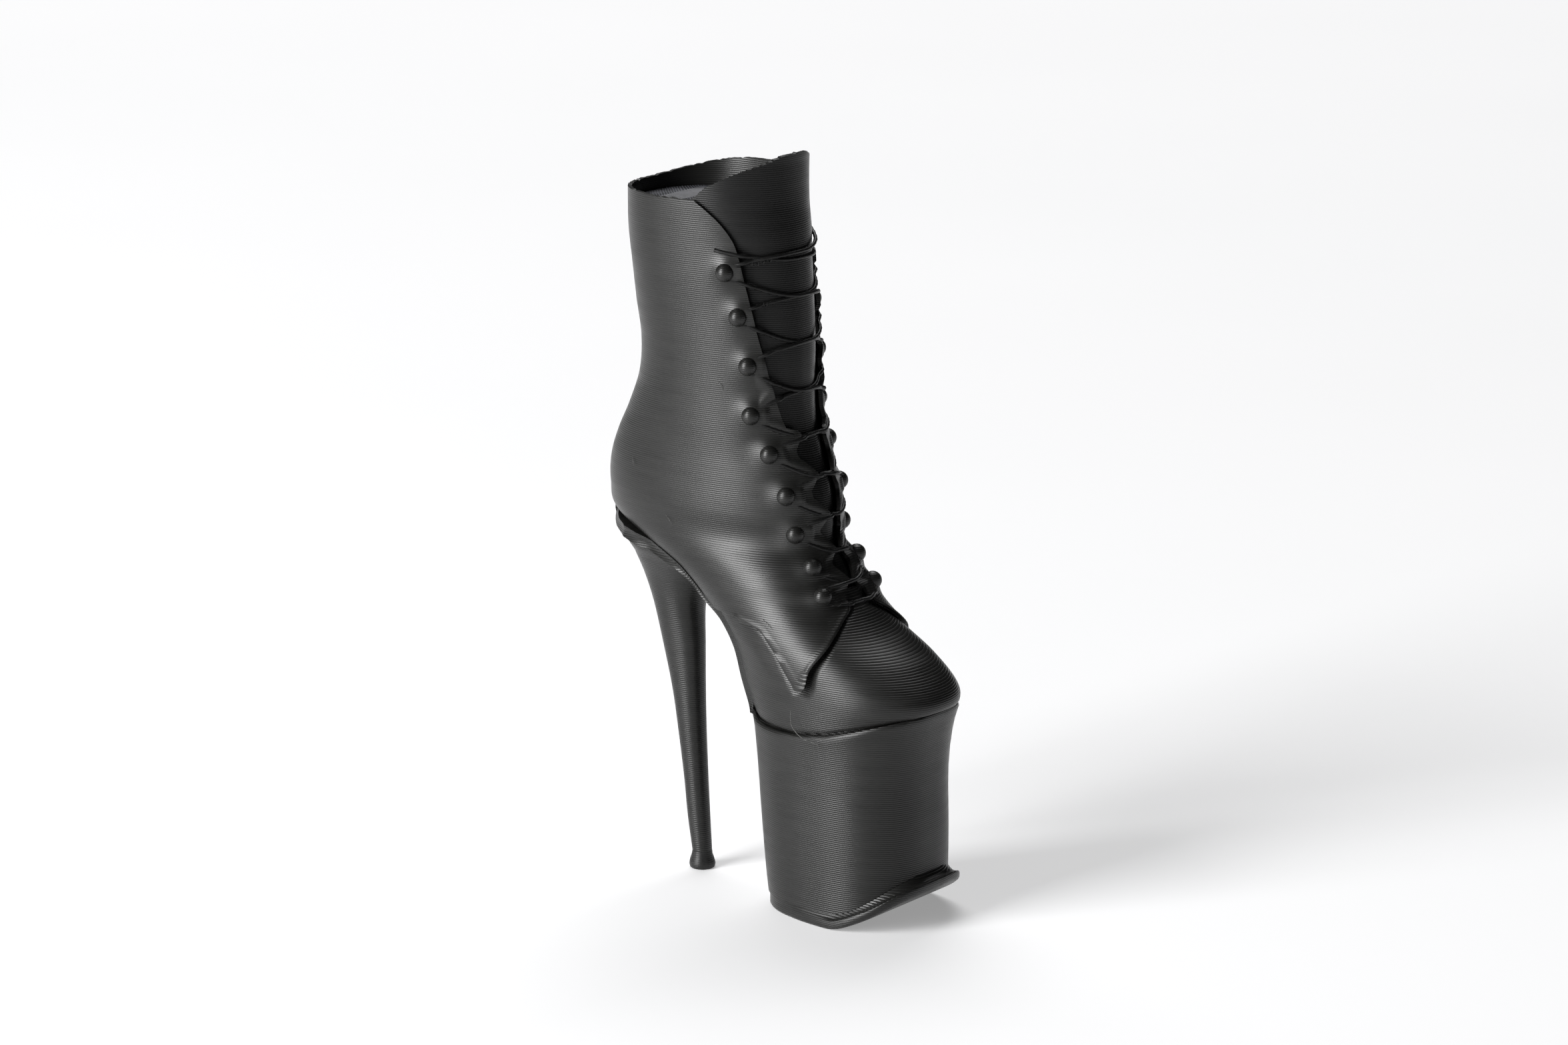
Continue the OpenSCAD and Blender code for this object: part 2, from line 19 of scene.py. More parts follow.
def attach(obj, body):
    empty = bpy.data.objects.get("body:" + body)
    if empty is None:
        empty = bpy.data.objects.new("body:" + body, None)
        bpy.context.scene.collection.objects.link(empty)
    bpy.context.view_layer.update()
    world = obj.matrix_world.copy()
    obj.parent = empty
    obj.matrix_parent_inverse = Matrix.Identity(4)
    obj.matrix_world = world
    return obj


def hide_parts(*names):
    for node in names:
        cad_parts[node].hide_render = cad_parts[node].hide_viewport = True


LOG = logging.getLogger("boot")
MM = 0.001
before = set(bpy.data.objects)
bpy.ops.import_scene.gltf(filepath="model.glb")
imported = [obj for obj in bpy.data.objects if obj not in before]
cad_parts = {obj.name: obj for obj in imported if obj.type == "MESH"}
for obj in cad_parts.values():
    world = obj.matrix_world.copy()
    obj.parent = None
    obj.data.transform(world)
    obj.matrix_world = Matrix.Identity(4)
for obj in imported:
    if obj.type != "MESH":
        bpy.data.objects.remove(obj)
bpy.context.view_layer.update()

Table = tuple[tuple[float, ...], ...]
Grid = list[list[Vector]]


# --------------------------------------------------------------------------- tables of the form

UPPER: Table = (  # height, front, back, half width, widest place back to front, roundness
    (20, -20.8, 1.8, 8.6, 0.50, 2.2),
    (22, -21.2, 2.4, 8.8, 0.50, 2.2),
    (25, -22.4, 4.0, 8.8, 0.53, 2.2),
    (28, -19.3, 4.8, 8.7, 0.52, 2.2),
    (31, -14.1, 6.8, 8.4, 0.53, 2.2),
    (34, -10.7, 10.0, 8.0, 0.53, 2.2),
    (37, -8.6, 15.4, 7.7, 0.55, 2.2),
    (40, -7.1, 21.7, 7.2, 0.52, 2.0),
    (43, -6.9, 22.3, 7.4, 0.50, 2.1),
    (46, -6.2, 22.0, 7.3, 0.50, 2.2),
    (49, -5.1, 20.9, 7.2, 0.50, 2.2),
    (52, -4.2, 19.3, 7.2, 0.50, 2.2),
    (56, -3.8, 17.6, 7.2, 0.48, 2.2),
    (60, -3.8, 17.2, 7.3, 0.46, 2.2),
    (64, -3.6, 17.7, 7.5, 0.44, 2.2),
    (68, -3.3, 18.0, 7.8, 0.42, 2.2),
    (72, -2.9, 18.4, 8.0, 0.42, 2.2),
    (76, -2.4, 18.3, 8.2, 0.42, 2.2),
    (82, -2.4, 18.3, 8.3, 0.42, 2.2),
)
BLOCK: Table = (
    (0, -20.0, -1.0, 8.0, 0.50, 2.5),
    (4, -20.0, -0.4, 8.0, 0.50, 2.5),
    (10, -20.0, 0.2, 8.1, 0.50, 2.5),
    (16, -19.9, 0.7, 8.2, 0.50, 2.5),
    (20, -20.3, 1.1, 8.4, 0.50, 2.5),
    (24, -21.3, 1.5, 8.6, 0.50, 2.5),
)
SPIKE: Table = (
    (2, 10.05, 12.15, 1.05, 0.5, 2.2),
    (6, 10.3, 12.8, 1.15, 0.5, 2.2),
    (10, 10.55, 13.2, 1.25, 0.5, 2.2),
    (15, 10.8, 13.9, 1.4, 0.5, 2.2),
    (20, 10.95, 14.7, 1.6, 0.5, 2.2),
    (25, 11.0, 15.9, 1.9, 0.5, 2.2),
    (30, 11.1, 17.1, 2.5, 0.5, 2.2),
    (33, 10.3, 18.1, 3.3, 0.5, 2.2),
    (35, 9.1, 19.0, 4.2, 0.5, 2.2),
    (37, 7.8, 20.2, 4.9, 0.5, 2.2),
)
SOLE: Table = (  # y, height, forefoot half width, board thickness; heel to toe
    (22, 40.4, 1.2, 0.5),
    (21.3, 39.6, 3, 0.85),
    (19.9, 39, 4.6, 1.1),
    (17.7, 38.7, 5.4, 1.3),
    (15.8, 38.3, 5.8, 1.4),
    (13.7, 37.8, 5.9, 1.25),
    (11.4, 37.15, 5.8, 1.1),
    (8.9, 36.2, 5.6, 0.85),
    (7.4, 34.9, 5.4, 0.6),
    (6.1, 33.4, 5.2, 0.5),
    (4.6, 32.2, 5.1, 0.45),
    (3.2, 31, 5, 0.45),
    (2.4, 29.8, 5.1, 0.45),
    (1.8, 28.4, 5.2, 0.45),
    (1.3, 26.5, 5.4, 0.45),
    (0.8, 24.5, 5.4, 0.45),
    (0.2, 22.8, 5.3, 0.45),
    (-0.6, 21.5, 5.4, 0.5),
    (-2, 20.9, 6.4, 0.5),
    (-4.2, 20.8, 7.2, 0.5),
    (-8, 20.85, 7.8, 0.5),
    (-12, 21.4, 7.7, 0.5),
    (-15, 22.2, 7, 0.5),
    (-17.6, 23, 5.7, 0.5),
    (-19.6, 23.6, 3.8, 0.5),
    (-20.6, 23.9, 1.6, 0.5),
)
ARCH_LAST = 17
# least half width of the sole strip at the heel's end: place in the table above, half width
HEEL_CUP = ((0, 0.6), (1, 1.4), (2, 3.2), (3, 4.9), (4, 5.3), (5, 5.3), (6, 0))
# hollow along the strip's edge, top to bottom: share of its depth, share of the thickness
EDGE_HOLLOW = ((0.0, 0.0), (0.0, 0.14), (0.8, 0.34), (1.0, 0.55), (0.8, 0.8), (0.5, 1.0))
SPRING: Table = ((-30, 0), (12.2, 0), (13.5, 0.15), (15, 0.7), (17.2, 1.8), (19.8, 3.5), (22.8, 5.5))
# stations of the long hair at the seam: angle, height, distance off the skin
LONG_HAIR = ((-96, 23.6, 0.2), (-93, 22.0, 0.5), (-88, 20.9, 0.6), (-80, 20.4, 0.4))
HOOKS: Table = (  # height, angle from the front; top to bottom
    (68.8, 58),
    (64.1, 53.8),
    (58.9, 50.6),
    (53.6, 49.4),
    (49.5, 40.4),
    (45.2, 35.2),
    (41.1, 32),
    (37.7, 28),
    (34.9, 30.4),
)
LACE_EDGE: Table = (
    (25.6, 91.5),
    (28.4, 76),
    (30.9, 46),
    (32.6, 26),
    (33.6, 14),
    (34.6, 12),
    (37.6, 12),
    (41, 14),
    (45, 16),
    (49.4, 20),
    (53.4, 28),
    (58.7, 38),
    (62.2, 43),
    (67.2, 47),
    (71.6, 51),
    (73.8, 58),
    (75.4, 67),
    (76.3, 73),
    (82, 90),
)
WING_EDGE: Table = ((25.6, 94), (28, 94), (30.2, 92), (31.4, 93), (32, 104))
TONGUE_EDGE: Table = (
    (0, 81),
    (12, 80.9),
    (28, 80.1),
    (43, 79.4),
    (54, 78.6),
    (66, 77.6),
    (78, 75.8),
    (95, 74.6),
)


def smooth(table: Table, key: float, column: int = 1) -> float:
    """Reads a column of a table with smooth slopes between its rows.

    Args:
        table: Rows whose first column rises.
        key: Value looked up in the first column; held inside its range.
        column: Column that is read.

    Returns:
        The interpolated value.
    """
    last = len(table) - 1
    key = min(max(key, table[0][0]), table[last][0])
    i = 0
    while i < last - 1 and key >= table[i + 1][0]:
        i += 1

    def slope(j: int) -> float:
        """Slope of the column at row j."""
        a, b = max(j - 1, 0), min(j + 1, last)
        return (table[b][column] - table[a][column]) / (table[b][0] - table[a][0])

    h = table[i + 1][0] - table[i][0]
    u = (key - table[i][0]) / h
    uu, uuu = u * u, u * u * u
    return (
        (2 * uuu - 3 * uu + 1) * table[i][column]
        + (uuu - 2 * uu + u) * h * slope(i)
        + (3 * uu - 2 * uuu) * table[i + 1][column]
        + (uuu - uu) * h * slope(i + 1)
    )


def linear(pairs: Sequence[tuple[float, float]], key: float) -> float:
    """Straight-line reading of pairs whose keys rise.

    Args:
        pairs: (key, value) pairs.
        key: Value looked up; held inside the range.

    Returns:
        The value at the key.
    """
    if key <= pairs[0][0]:
        return pairs[0][1]
    for (a, va), (b, vb) in zip(pairs, pairs[1:]):
        if key <= b:
            return va + (vb - va) * (key - a) / (b - a)
    return pairs[-1][1]


def ease(value: float, low: float, high: float) -> float:
    """Soft step from 0 at low to 1 at high."""
    u = min(max((value - low) / (high - low), 0.0), 1.0)
    return u * u * (3 - 2 * u)


def jitter(*key: float) -> float:
    """Repeatable noise from -1 to 1 at a place."""
    return noise.noise(Vector((key + (0.0, 0.0, 0.0))[:3]) + Vector((3.7, 1.3, 8.1)))


SOLE_BY_HEIGHT = sorted((row[1], row[0]) for row in SOLE[: ARCH_LAST + 1])
SOLE_BY_Y = sorted((row[0], row[1]) for row in SOLE[ARCH_LAST:])


def sole_y(height: float) -> float:
    """Where the underside of the foot stands at a height, behind the ball."""
    return linear(SOLE_BY_HEIGHT, height)


def sole_z(y: float) -> float:
    """Height of the underside of the foot from the ball to the toe."""
    return linear(SOLE_BY_Y, y)


def toe_rise(y: float) -> float:
    """Height of the outsole's underside, which springs up at the toe."""
    return max(smooth(SPRING, -y), 0.0)


def toe_fillet(y: float) -> float:
    """Height of the soft fillet between the toe lip and the block."""
    return 0.8 * min(max((-y - 15) / 5, 0.0), 1.0)


@dataclass
class LevelForm:
    """A rounded form given by its outline at every level.

    Attributes:
        stations: Rows of height, front, back, half width, widest place, roundness.
    """

    stations: Table
    _levels: dict[float, tuple[float, ...]] = field(default_factory=dict)

    def level(self, z: float) -> tuple[float, ...]:
        """Front, back, half width, widest place and roundness at a height."""
        key = round(z, 4)
        if key not in self._levels:
            self._levels[key] = tuple(smooth(self.stations, z, c) for c in range(1, 6))
        return self._levels[key]

    def point(self, angle: float, z: float, out: float = 0.0) -> Vector:
        """Point of the form.

        Args:
            angle: Degrees from the front; positive toward the outer side.
            z: Height.
            out: Distance outside the form.

        Returns:
            The point, in millimetres.
        """
        front, back, half, widest, roundness = self.level(z)
        middle = back + (front - back) * widest
        s, c = math.sin(math.radians(angle)), math.cos(math.radians(angle))
        e = 2 / roundness
        x = (half + out) * math.copysign(abs(s) ** e, s)
        reach = (front - out - middle) if c > 0 else (middle - back - out)
        return Vector((x, middle + reach * math.copysign(abs(c) ** e, c), z))

    def angle_of(self, z: float, y: float) -> float:
        """Angle at which the level outline reaches a given y."""
        front, back, _, widest, roundness = self.level(z)
        middle = back + (front - back) * widest
        ahead = y < middle
        share = min((y - middle) / ((front if ahead else back) - middle), 1.0)
        turn = math.degrees(math.acos(share ** (roundness / 2)))
        return turn if ahead else 180 - turn

    def normal(self, angle: float, z: float) -> Vector:
        """Outward normal of the form."""
        along = self.point(angle + 1, z) - self.point(angle - 1, z)
        rise = self.point(angle, z + 0.4) - self.point(angle, z - 0.4)
        return along.cross(rise).normalized()


FORM = LevelForm(UPPER)


# --------------------------------------------------------------------------- mesh helpers


def deselect() -> None:
    """Leaves object mode with nothing selected and nothing active."""
    if bpy.context.mode != "OBJECT":
        bpy.ops.object.mode_set(mode="OBJECT")
    bpy.ops.object.select_all(action="DESELECT")


def focus(obj: bpy.types.Object) -> bpy.types.Object:
    """Makes obj the only selected and the active object."""
    deselect()
    obj.select_set(True)
    bpy.context.view_layer.objects.active = obj
    return obj


def tidy_mesh(mesh: bpy.types.Mesh, merge: float = 0.004, outward: bool = True) -> None:
    """Merges doubles and, on request, turns the faces outward.

    Args:
        mesh: The mesh.
        merge: Distance in millimetres under which vertices are one.
        outward: Whether the normals are recalculated.
    """
    bm = bmesh.new()
    bm.from_mesh(mesh)
    bmesh.ops.remove_doubles(bm, verts=bm.verts, dist=merge * MM)
    bmesh.ops.dissolve_degenerate(bm, edges=bm.edges, dist=merge * MM)
    if outward:
        bmesh.ops.recalc_face_normals(bm, faces=bm.faces)
    bm.to_mesh(mesh)
    bm.free()


def object_from(name: str, points: Iterable[Vector], faces: list[tuple[int, ...]]) -> bpy.types.Object:
    """Object from points in millimetres and faces.

    Args:
        name: Object name.
        points: Vertex places.
        faces: Vertex indices of each face.

    Returns:
        The new object, standing at the origin.
    """
    mesh = bpy.data.meshes.new(name)
    mesh.from_pydata([p * MM for p in points], [], faces)
    obj = bpy.data.objects.new(name, mesh)
    bpy.context.scene.collection.objects.link(obj)
    return obj


def sheet(name: str, grid: Grid) -> bpy.types.Object:
    """Open sheet from rows of points."""
    n = len(grid[0])
    faces = [
        (r * n + i, r * n + i + 1, (r + 1) * n + i + 1, (r + 1) * n + i)
        for r in range(len(grid) - 1)
        for i in range(n - 1)
    ]
    return object_from(name, [p for row in grid for p in row], faces)


def loft(name: str, rings: Grid) -> bpy.types.Object:
    """Closed solid through mirror-symmetric rings, each end closed with strips across.

    Args:
        name: Object name.
        rings: Rings of equal even count, bottom to top, each starting at the front.

    Returns:
        The solid.
    """
    n, m = len(rings[0]), len(rings)
    faces: list[tuple[int, ...]] = []
    for r in range(m - 1):
        for i in range(n):
            j = (i + 1) % n
            faces.append((r * n + i, r * n + j, (r + 1) * n + j, (r + 1) * n + i))
    for base, flip in ((0, True), ((m - 1) * n, False)):
        for i in range(n // 2):
            strip = [base + i, base + i + 1, base + n - i - 1, base + (n - i) % n]
            strip = list(dict.fromkeys(strip))
            faces.append(tuple(reversed(strip)) if flip else tuple(strip))
    obj = object_from(name, [p for row in rings for p in row], faces)
    tidy_mesh(obj.data, 0.001)
    return obj


def tube(
    name: str, path: list[tuple[Vector, Vector]], radius: Callable[[int], float], sides: int = 8
) -> bpy.types.Object:
    """Round strand along a path.

    Args:
        name: Object name.
        path: (point, normal) pairs.
        radius: Radius at each place of the path.
        sides: Corners of the section.

    Returns:
        The closed strand.
    """
    points: list[Vector] = []
    for i, (here, up) in enumerate(path):
        along = (path[min(i + 1, len(path) - 1)][0] - path[max(i - 1, 0)][0]).normalized()
        side = along.cross(up).normalized()
        lift = side.cross(along)
        for j in range(sides):
            turn = 2 * math.pi * j / sides
            points.append(here + (side * math.cos(turn) + lift * math.sin(turn)) * radius(i))
    faces = [
        (i * sides + j, i * sides + (j + 1) % sides, (i + 1) * sides + (j + 1) % sides, (i + 1) * sides + j)
        for i in range(len(path) - 1)
        for j in range(sides)
    ]
    faces.append(tuple(range(sides)))
    faces.append(tuple((len(path) - 1) * sides + j for j in range(sides)))
    obj = object_from(name, points, faces)
    tidy_mesh(obj.data, 0.0005)
    return obj


def modify(obj: bpy.types.Object, kind: str, **settings: Any) -> None:
    """Adds a modifier with its settings and applies it.

    Args:
        obj: The object.
        kind: Blender's name of the modifier type.
        **settings: Properties of the modifier.
    """
    focus(obj)
    mod = obj.modifiers.new(kind.title(), kind)
    for key, value in settings.items():
        setattr(mod, key, value)
    bpy.ops.object.modifier_apply(modifier=mod.name)


def join(name: str, parts: list[bpy.types.Object]) -> bpy.types.Object:
    """Joins objects into the first and names it."""
    focus(parts[0])
    for part in parts:
        part.select_set(True)
    bpy.ops.object.join()
    parts[0].name = name
    parts[0].data.name = name
    return parts[0]


def put(
    piece: bpy.types.Object, material: bpy.types.Material, nodes: Sequence[str], angle: float = 40
) -> None:
    """Dresses a finished piece, hangs it on the boot and reports it.

    Args:
        piece: The object.
        material: Its finish.
        nodes: CAD nodes that it stands for.
        angle: Edges sharper than this many degrees stay sharp.
    """
    focus(piece)
    bpy.ops.object.shade_smooth_by_angle(angle=math.radians(angle))
    piece.data.materials.clear()
    piece.data.materials.append(material)
    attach(piece, "root")
    if nodes:
        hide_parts(*nodes)
    deselect()
    LOG.info("%s: %d faces for %s", piece.name, len(piece.data.polygons), ", ".join(nodes) or "detail")


# --------------------------------------------------------------------------- finishes


def linear_rgb(code: str) -> tuple[float, float, float, float]:
    """sRGB hex colour as linear RGBA."""
    parts = [int(code.lstrip("#")[i : i + 2], 16) / 255 for i in (0, 2, 4)]
    return (*[v / 12.92 if v <= 0.04045 else ((v + 0.055) / 1.055) ** 2.4 for v in parts], 1.0)


def add(
    tree: bpy.types.NodeTree,
    kind: str,
    links: dict[Any, Any] | None = None,
    inputs: dict[Any, Any] | None = None,
    **settings: Any,
) -> bpy.types.Node:
    """Adds a node with its settings, values and links.

    Args:
        tree: The node tree.
        kind: Node type.
        links: Input name or index to the output socket that feeds it.
        inputs: Input name or index to its value.
        **settings: Properties of the node.

    Returns:
        The node.
    """
    node = tree.nodes.new(kind)
    for key, value in settings.items():
        setattr(node, key, value)
    for key, value in (inputs or {}).items():
        node.inputs[key].default_value = value
    for key, value in (links or {}).items():
        tree.links.new(value, node.inputs[key])
    return node


@dataclass(frozen=True)
class LayeredPlastic:
    """Black PLA laid down bead on bead: satin beads, with painted shade darkening the grooves between them.

    Layers on the platform and heel are taken as 0.2 mm high, and those on the shaft are finer. All are
    drawn at 0.22 mm, as coarse as they need to be to show.

    Attributes:
        name: Material name.
        bead: Colour on the crown of a bead.
        groove: Colour between two beads, darker than the bead: painted shade in the groove.
        pitch: Height of one layer in millimetres.
        depth: Depth of a groove in millimetres.
        rough: Roughness of a bead.
        gloss: Specular level.
    """

    name: str
    bead: str = "#171716"
    groove: str = "#0e0e0d"
    pitch: float = 0.22
    depth: float = 0.018
    rough: float = 0.34
    gloss: float = 0.46

    def material(self) -> bpy.types.Material:
        """Builds the material."""
        mat = bpy.data.materials.new(self.name)
        mat.use_nodes = True
        tree = mat.node_tree
        tree.nodes.clear()
        place = add(tree, "ShaderNodeTexCoord").outputs["Object"]
        # The nozzle wanders a few hundredths of a millimetre, so no layer is quite level.
        wander = add(tree, "ShaderNodeTexNoise", {"Vector": place}, {"Scale": 220.0, "Detail": 1.0})
        height = add(tree, "ShaderNodeSeparateXYZ", {0: place}).outputs["Z"]
        layers = add(tree, "ShaderNodeMath", {0: height}, {1: 1 / (self.pitch * MM)}, operation="MULTIPLY")
        count = add(
            tree,
            "ShaderNodeMath",
            {0: wander.outputs["Fac"], 2: layers.outputs[0]},
            {1: 0.16},
            operation="MULTIPLY_ADD",
        )
        # A bead is round in section: a half circle from groove to groove.
        part = add(tree, "ShaderNodeMath", {0: count.outputs[0]}, operation="FRACT")
        off = add(tree, "ShaderNodeMath", {0: part.outputs[0]}, {1: 2.0, 2: -1.0}, operation="MULTIPLY_ADD")
        square = add(tree, "ShaderNodeMath", {0: off.outputs[0], 1: off.outputs[0]}, operation="MULTIPLY")
        inner = add(tree, "ShaderNodeMath", {1: square.outputs[0]}, {0: 1.0}, operation="SUBTRACT")
        crown = add(tree, "ShaderNodeMath", {0: inner.outputs[0]}, {1: 0.5}, operation="POWER")
        # Each layer takes the light a little differently, which gives the faint level streaks.
        number = add(tree, "ShaderNodeMath", {0: count.outputs[0]}, operation="FLOOR")
        own = add(tree, "ShaderNodeTexWhiteNoise", {"W": number.outputs[0]}, noise_dimensions="1D")
        # Flow marks of the melt: long along the bead, a few layers high.
        stretch = add(tree, "ShaderNodeMapping", {"Vector": place}, {"Scale": (120.0, 120.0, 900.0)})
        flow = add(tree, "ShaderNodeTexNoise", {"Vector": stretch.outputs[0]}, {"Scale": 1.0, "Detail": 3.0})
        # Grain of the plastic, about a tenth of a millimetre.
        grain = add(tree, "ShaderNodeTexNoise", {"Vector": place}, {"Scale": 9000.0, "Detail": 2.0})
        # Painted shade: the colour darkens from the bead colour on the crown to the groove colour between beads.
        shade = add(tree, "ShaderNodeMapRange", {"Value": crown.outputs[0]}, {1: 0.15, 2: 0.75, 3: 0.0, 4: 1.0})
        body = add(
            tree,
            "ShaderNodeMix",
            {0: shade.outputs[0]},
            {6: linear_rgb(self.groove), 7: linear_rgb(self.bead)},
            data_type="RGBA",
        )
        tone = add(tree, "ShaderNodeMapRange", {"Value": own.outputs["Value"]}, {3: 0.90, 4: 1.10})
        tinted = add(
            tree, "ShaderNodeVectorMath", {0: body.outputs[2], 3: tone.outputs[0]}, operation="SCALE"
        )
        mottled = add(tree, "ShaderNodeMapRange", {"Value": flow.outputs["Fac"]}, {1: 0.3, 2: 0.7, 3: 0.88, 4: 1.12})
        colour = add(tree, "ShaderNodeVectorMath", {0: tinted.outputs[0], 3: mottled.outputs[0]}, operation="SCALE")
        dull = add(
            tree,
            "ShaderNodeMapRange",
            {"Value": flow.outputs["Fac"]},
            {1: 0.25, 2: 0.75, 3: self.rough - 0.05, 4: self.rough + 0.06},
        )
        relief = add(
            tree, "ShaderNodeMath", {0: own.outputs["Value"], 2: crown.outputs[0]}, {1: 0.35}, operation="MULTIPLY_ADD"
        )
        fine = add(
            tree, "ShaderNodeMath", {0: grain.outputs["Fac"], 2: relief.outputs[0]}, {1: 0.04}, operation="MULTIPLY_ADD"
        )
        bump = add(
            tree, "ShaderNodeBump", {"Height": fine.outputs[0]}, {"Strength": 1.0, "Distance": self.depth * MM}
        )
        shader = add(
            tree,
            "ShaderNodeBsdfPrincipled",
            {"Base Color": colour.outputs[0], "Roughness": dull.outputs[0], "Normal": bump.outputs[0]},
            {"IOR": 1.46, "Specular IOR Level": self.gloss},
        )
        add(tree, "ShaderNodeOutputMaterial", {"Surface": shader.outputs[0]})
        return mat


@dataclass(frozen=True)
class FloorBeads:
    """Flat top skin of a print seen inside the shaft: flat beads in a zigzag, rough and greyer.

    Attributes:
        name: Material name.
        crown: Colour on a bead.
        gap: Colour between beads, darker than the crown: painted shade between beads.
        pitch: Width of one bead in millimetres.
    """

    name: str
    crown: str = "#55565c"
    gap: str = "#131315"
    pitch: float = 0.42

    def material(self) -> bpy.types.Material:
        """Builds the material."""
        mat = bpy.data.materials.new(self.name)
        mat.use_nodes = True
        tree = mat.node_tree
        tree.nodes.clear()
        place = add(tree, "ShaderNodeTexCoord").outputs["Object"]
        axes = add(tree, "ShaderNodeSeparateXYZ", {0: place})
        # Beads run at 45 degrees and turn back every 3 mm, so the skin reads as a herringbone.
        lane = add(tree, "ShaderNodeMath", {0: axes.outputs["Y"]}, {1: 3.0 * MM}, operation="PINGPONG")
        across = add(tree, "ShaderNodeMath", {0: axes.outputs["X"], 1: lane.outputs[0]}, operation="ADD")
        warp = add(tree, "ShaderNodeTexNoise", {"Vector": place}, {"Scale": 400.0, "Detail": 2.0})
        scaled = add(
            tree, "ShaderNodeMath", {0: across.outputs[0]}, {1: 1 / (self.pitch * MM)}, operation="MULTIPLY"
        )
        count = add(
            tree, "ShaderNodeMath", {0: warp.outputs["Fac"], 2: scaled.outputs[0]}, {1: 1.4}, operation="MULTIPLY_ADD"
        )
        wave = add(tree, "ShaderNodeMath", {0: count.outputs[0]}, {1: 0.5}, operation="PINGPONG")
        # Melted strands lie over the beads.
        blobs = add(tree, "ShaderNodeTexVoronoi", {"Vector": place}, {"Scale": 900.0}, feature="SMOOTH_F1")
        raised = add(
            tree,
            "ShaderNodeMath",
            {0: blobs.outputs["Distance"], 2: wave.outputs[0]},
            {1: 0.35},
            operation="MULTIPLY_ADD",
        )
        # Painted shade: the colour runs with the beads' height, from the gap colour low down to the crown colour on
        # top.
        tone = add(tree, "ShaderNodeMapRange", {"Value": raised.outputs[0]}, {1: 0.12, 2: 0.5})
        body = add(
            tree,
            "ShaderNodeMix",
            {0: tone.outputs[0]},
            {6: linear_rgb(self.gap), 7: linear_rgb(self.crown)},
            data_type="RGBA",
        )
        # Painted shade: the floor darkens toward the front of the shaft, to a quarter of its colour at the front.
        front = add(tree, "ShaderNodeMapRange", {"Value": axes.outputs["Y"]}, {1: 4 * MM, 2: 12 * MM, 3: 0.25, 4: 1.0})
        shaded = add(tree, "ShaderNodeVectorMath", {0: body.outputs[2], 3: front.outputs[0]}, operation="SCALE")
        rough = add(tree, "ShaderNodeMapRange", {"Value": warp.outputs["Fac"]}, {3: 0.35, 4: 0.55})
        bump = add(
            tree, "ShaderNodeBump", {"Height": raised.outputs[0]}, {"Strength": 1.0, "Distance": 0.12 * MM}
        )
        shader = add(
            tree,
            "ShaderNodeBsdfPrincipled",
            {"Base Color": shaded.outputs[0], "Roughness": rough.outputs[0], "Normal": bump.outputs[0]},
            {"IOR": 1.46, "Specular IOR Level": 0.5},
        )
        add(tree, "ShaderNodeOutputMaterial", {"Surface": shader.outputs[0]})
        return mat


class Side(Enum):
    """The two sides of the boot; the value is the sign of x."""

    INNER = -1
    OUTER = 1


# --------------------------------------------------------------------------- sub-assemblies


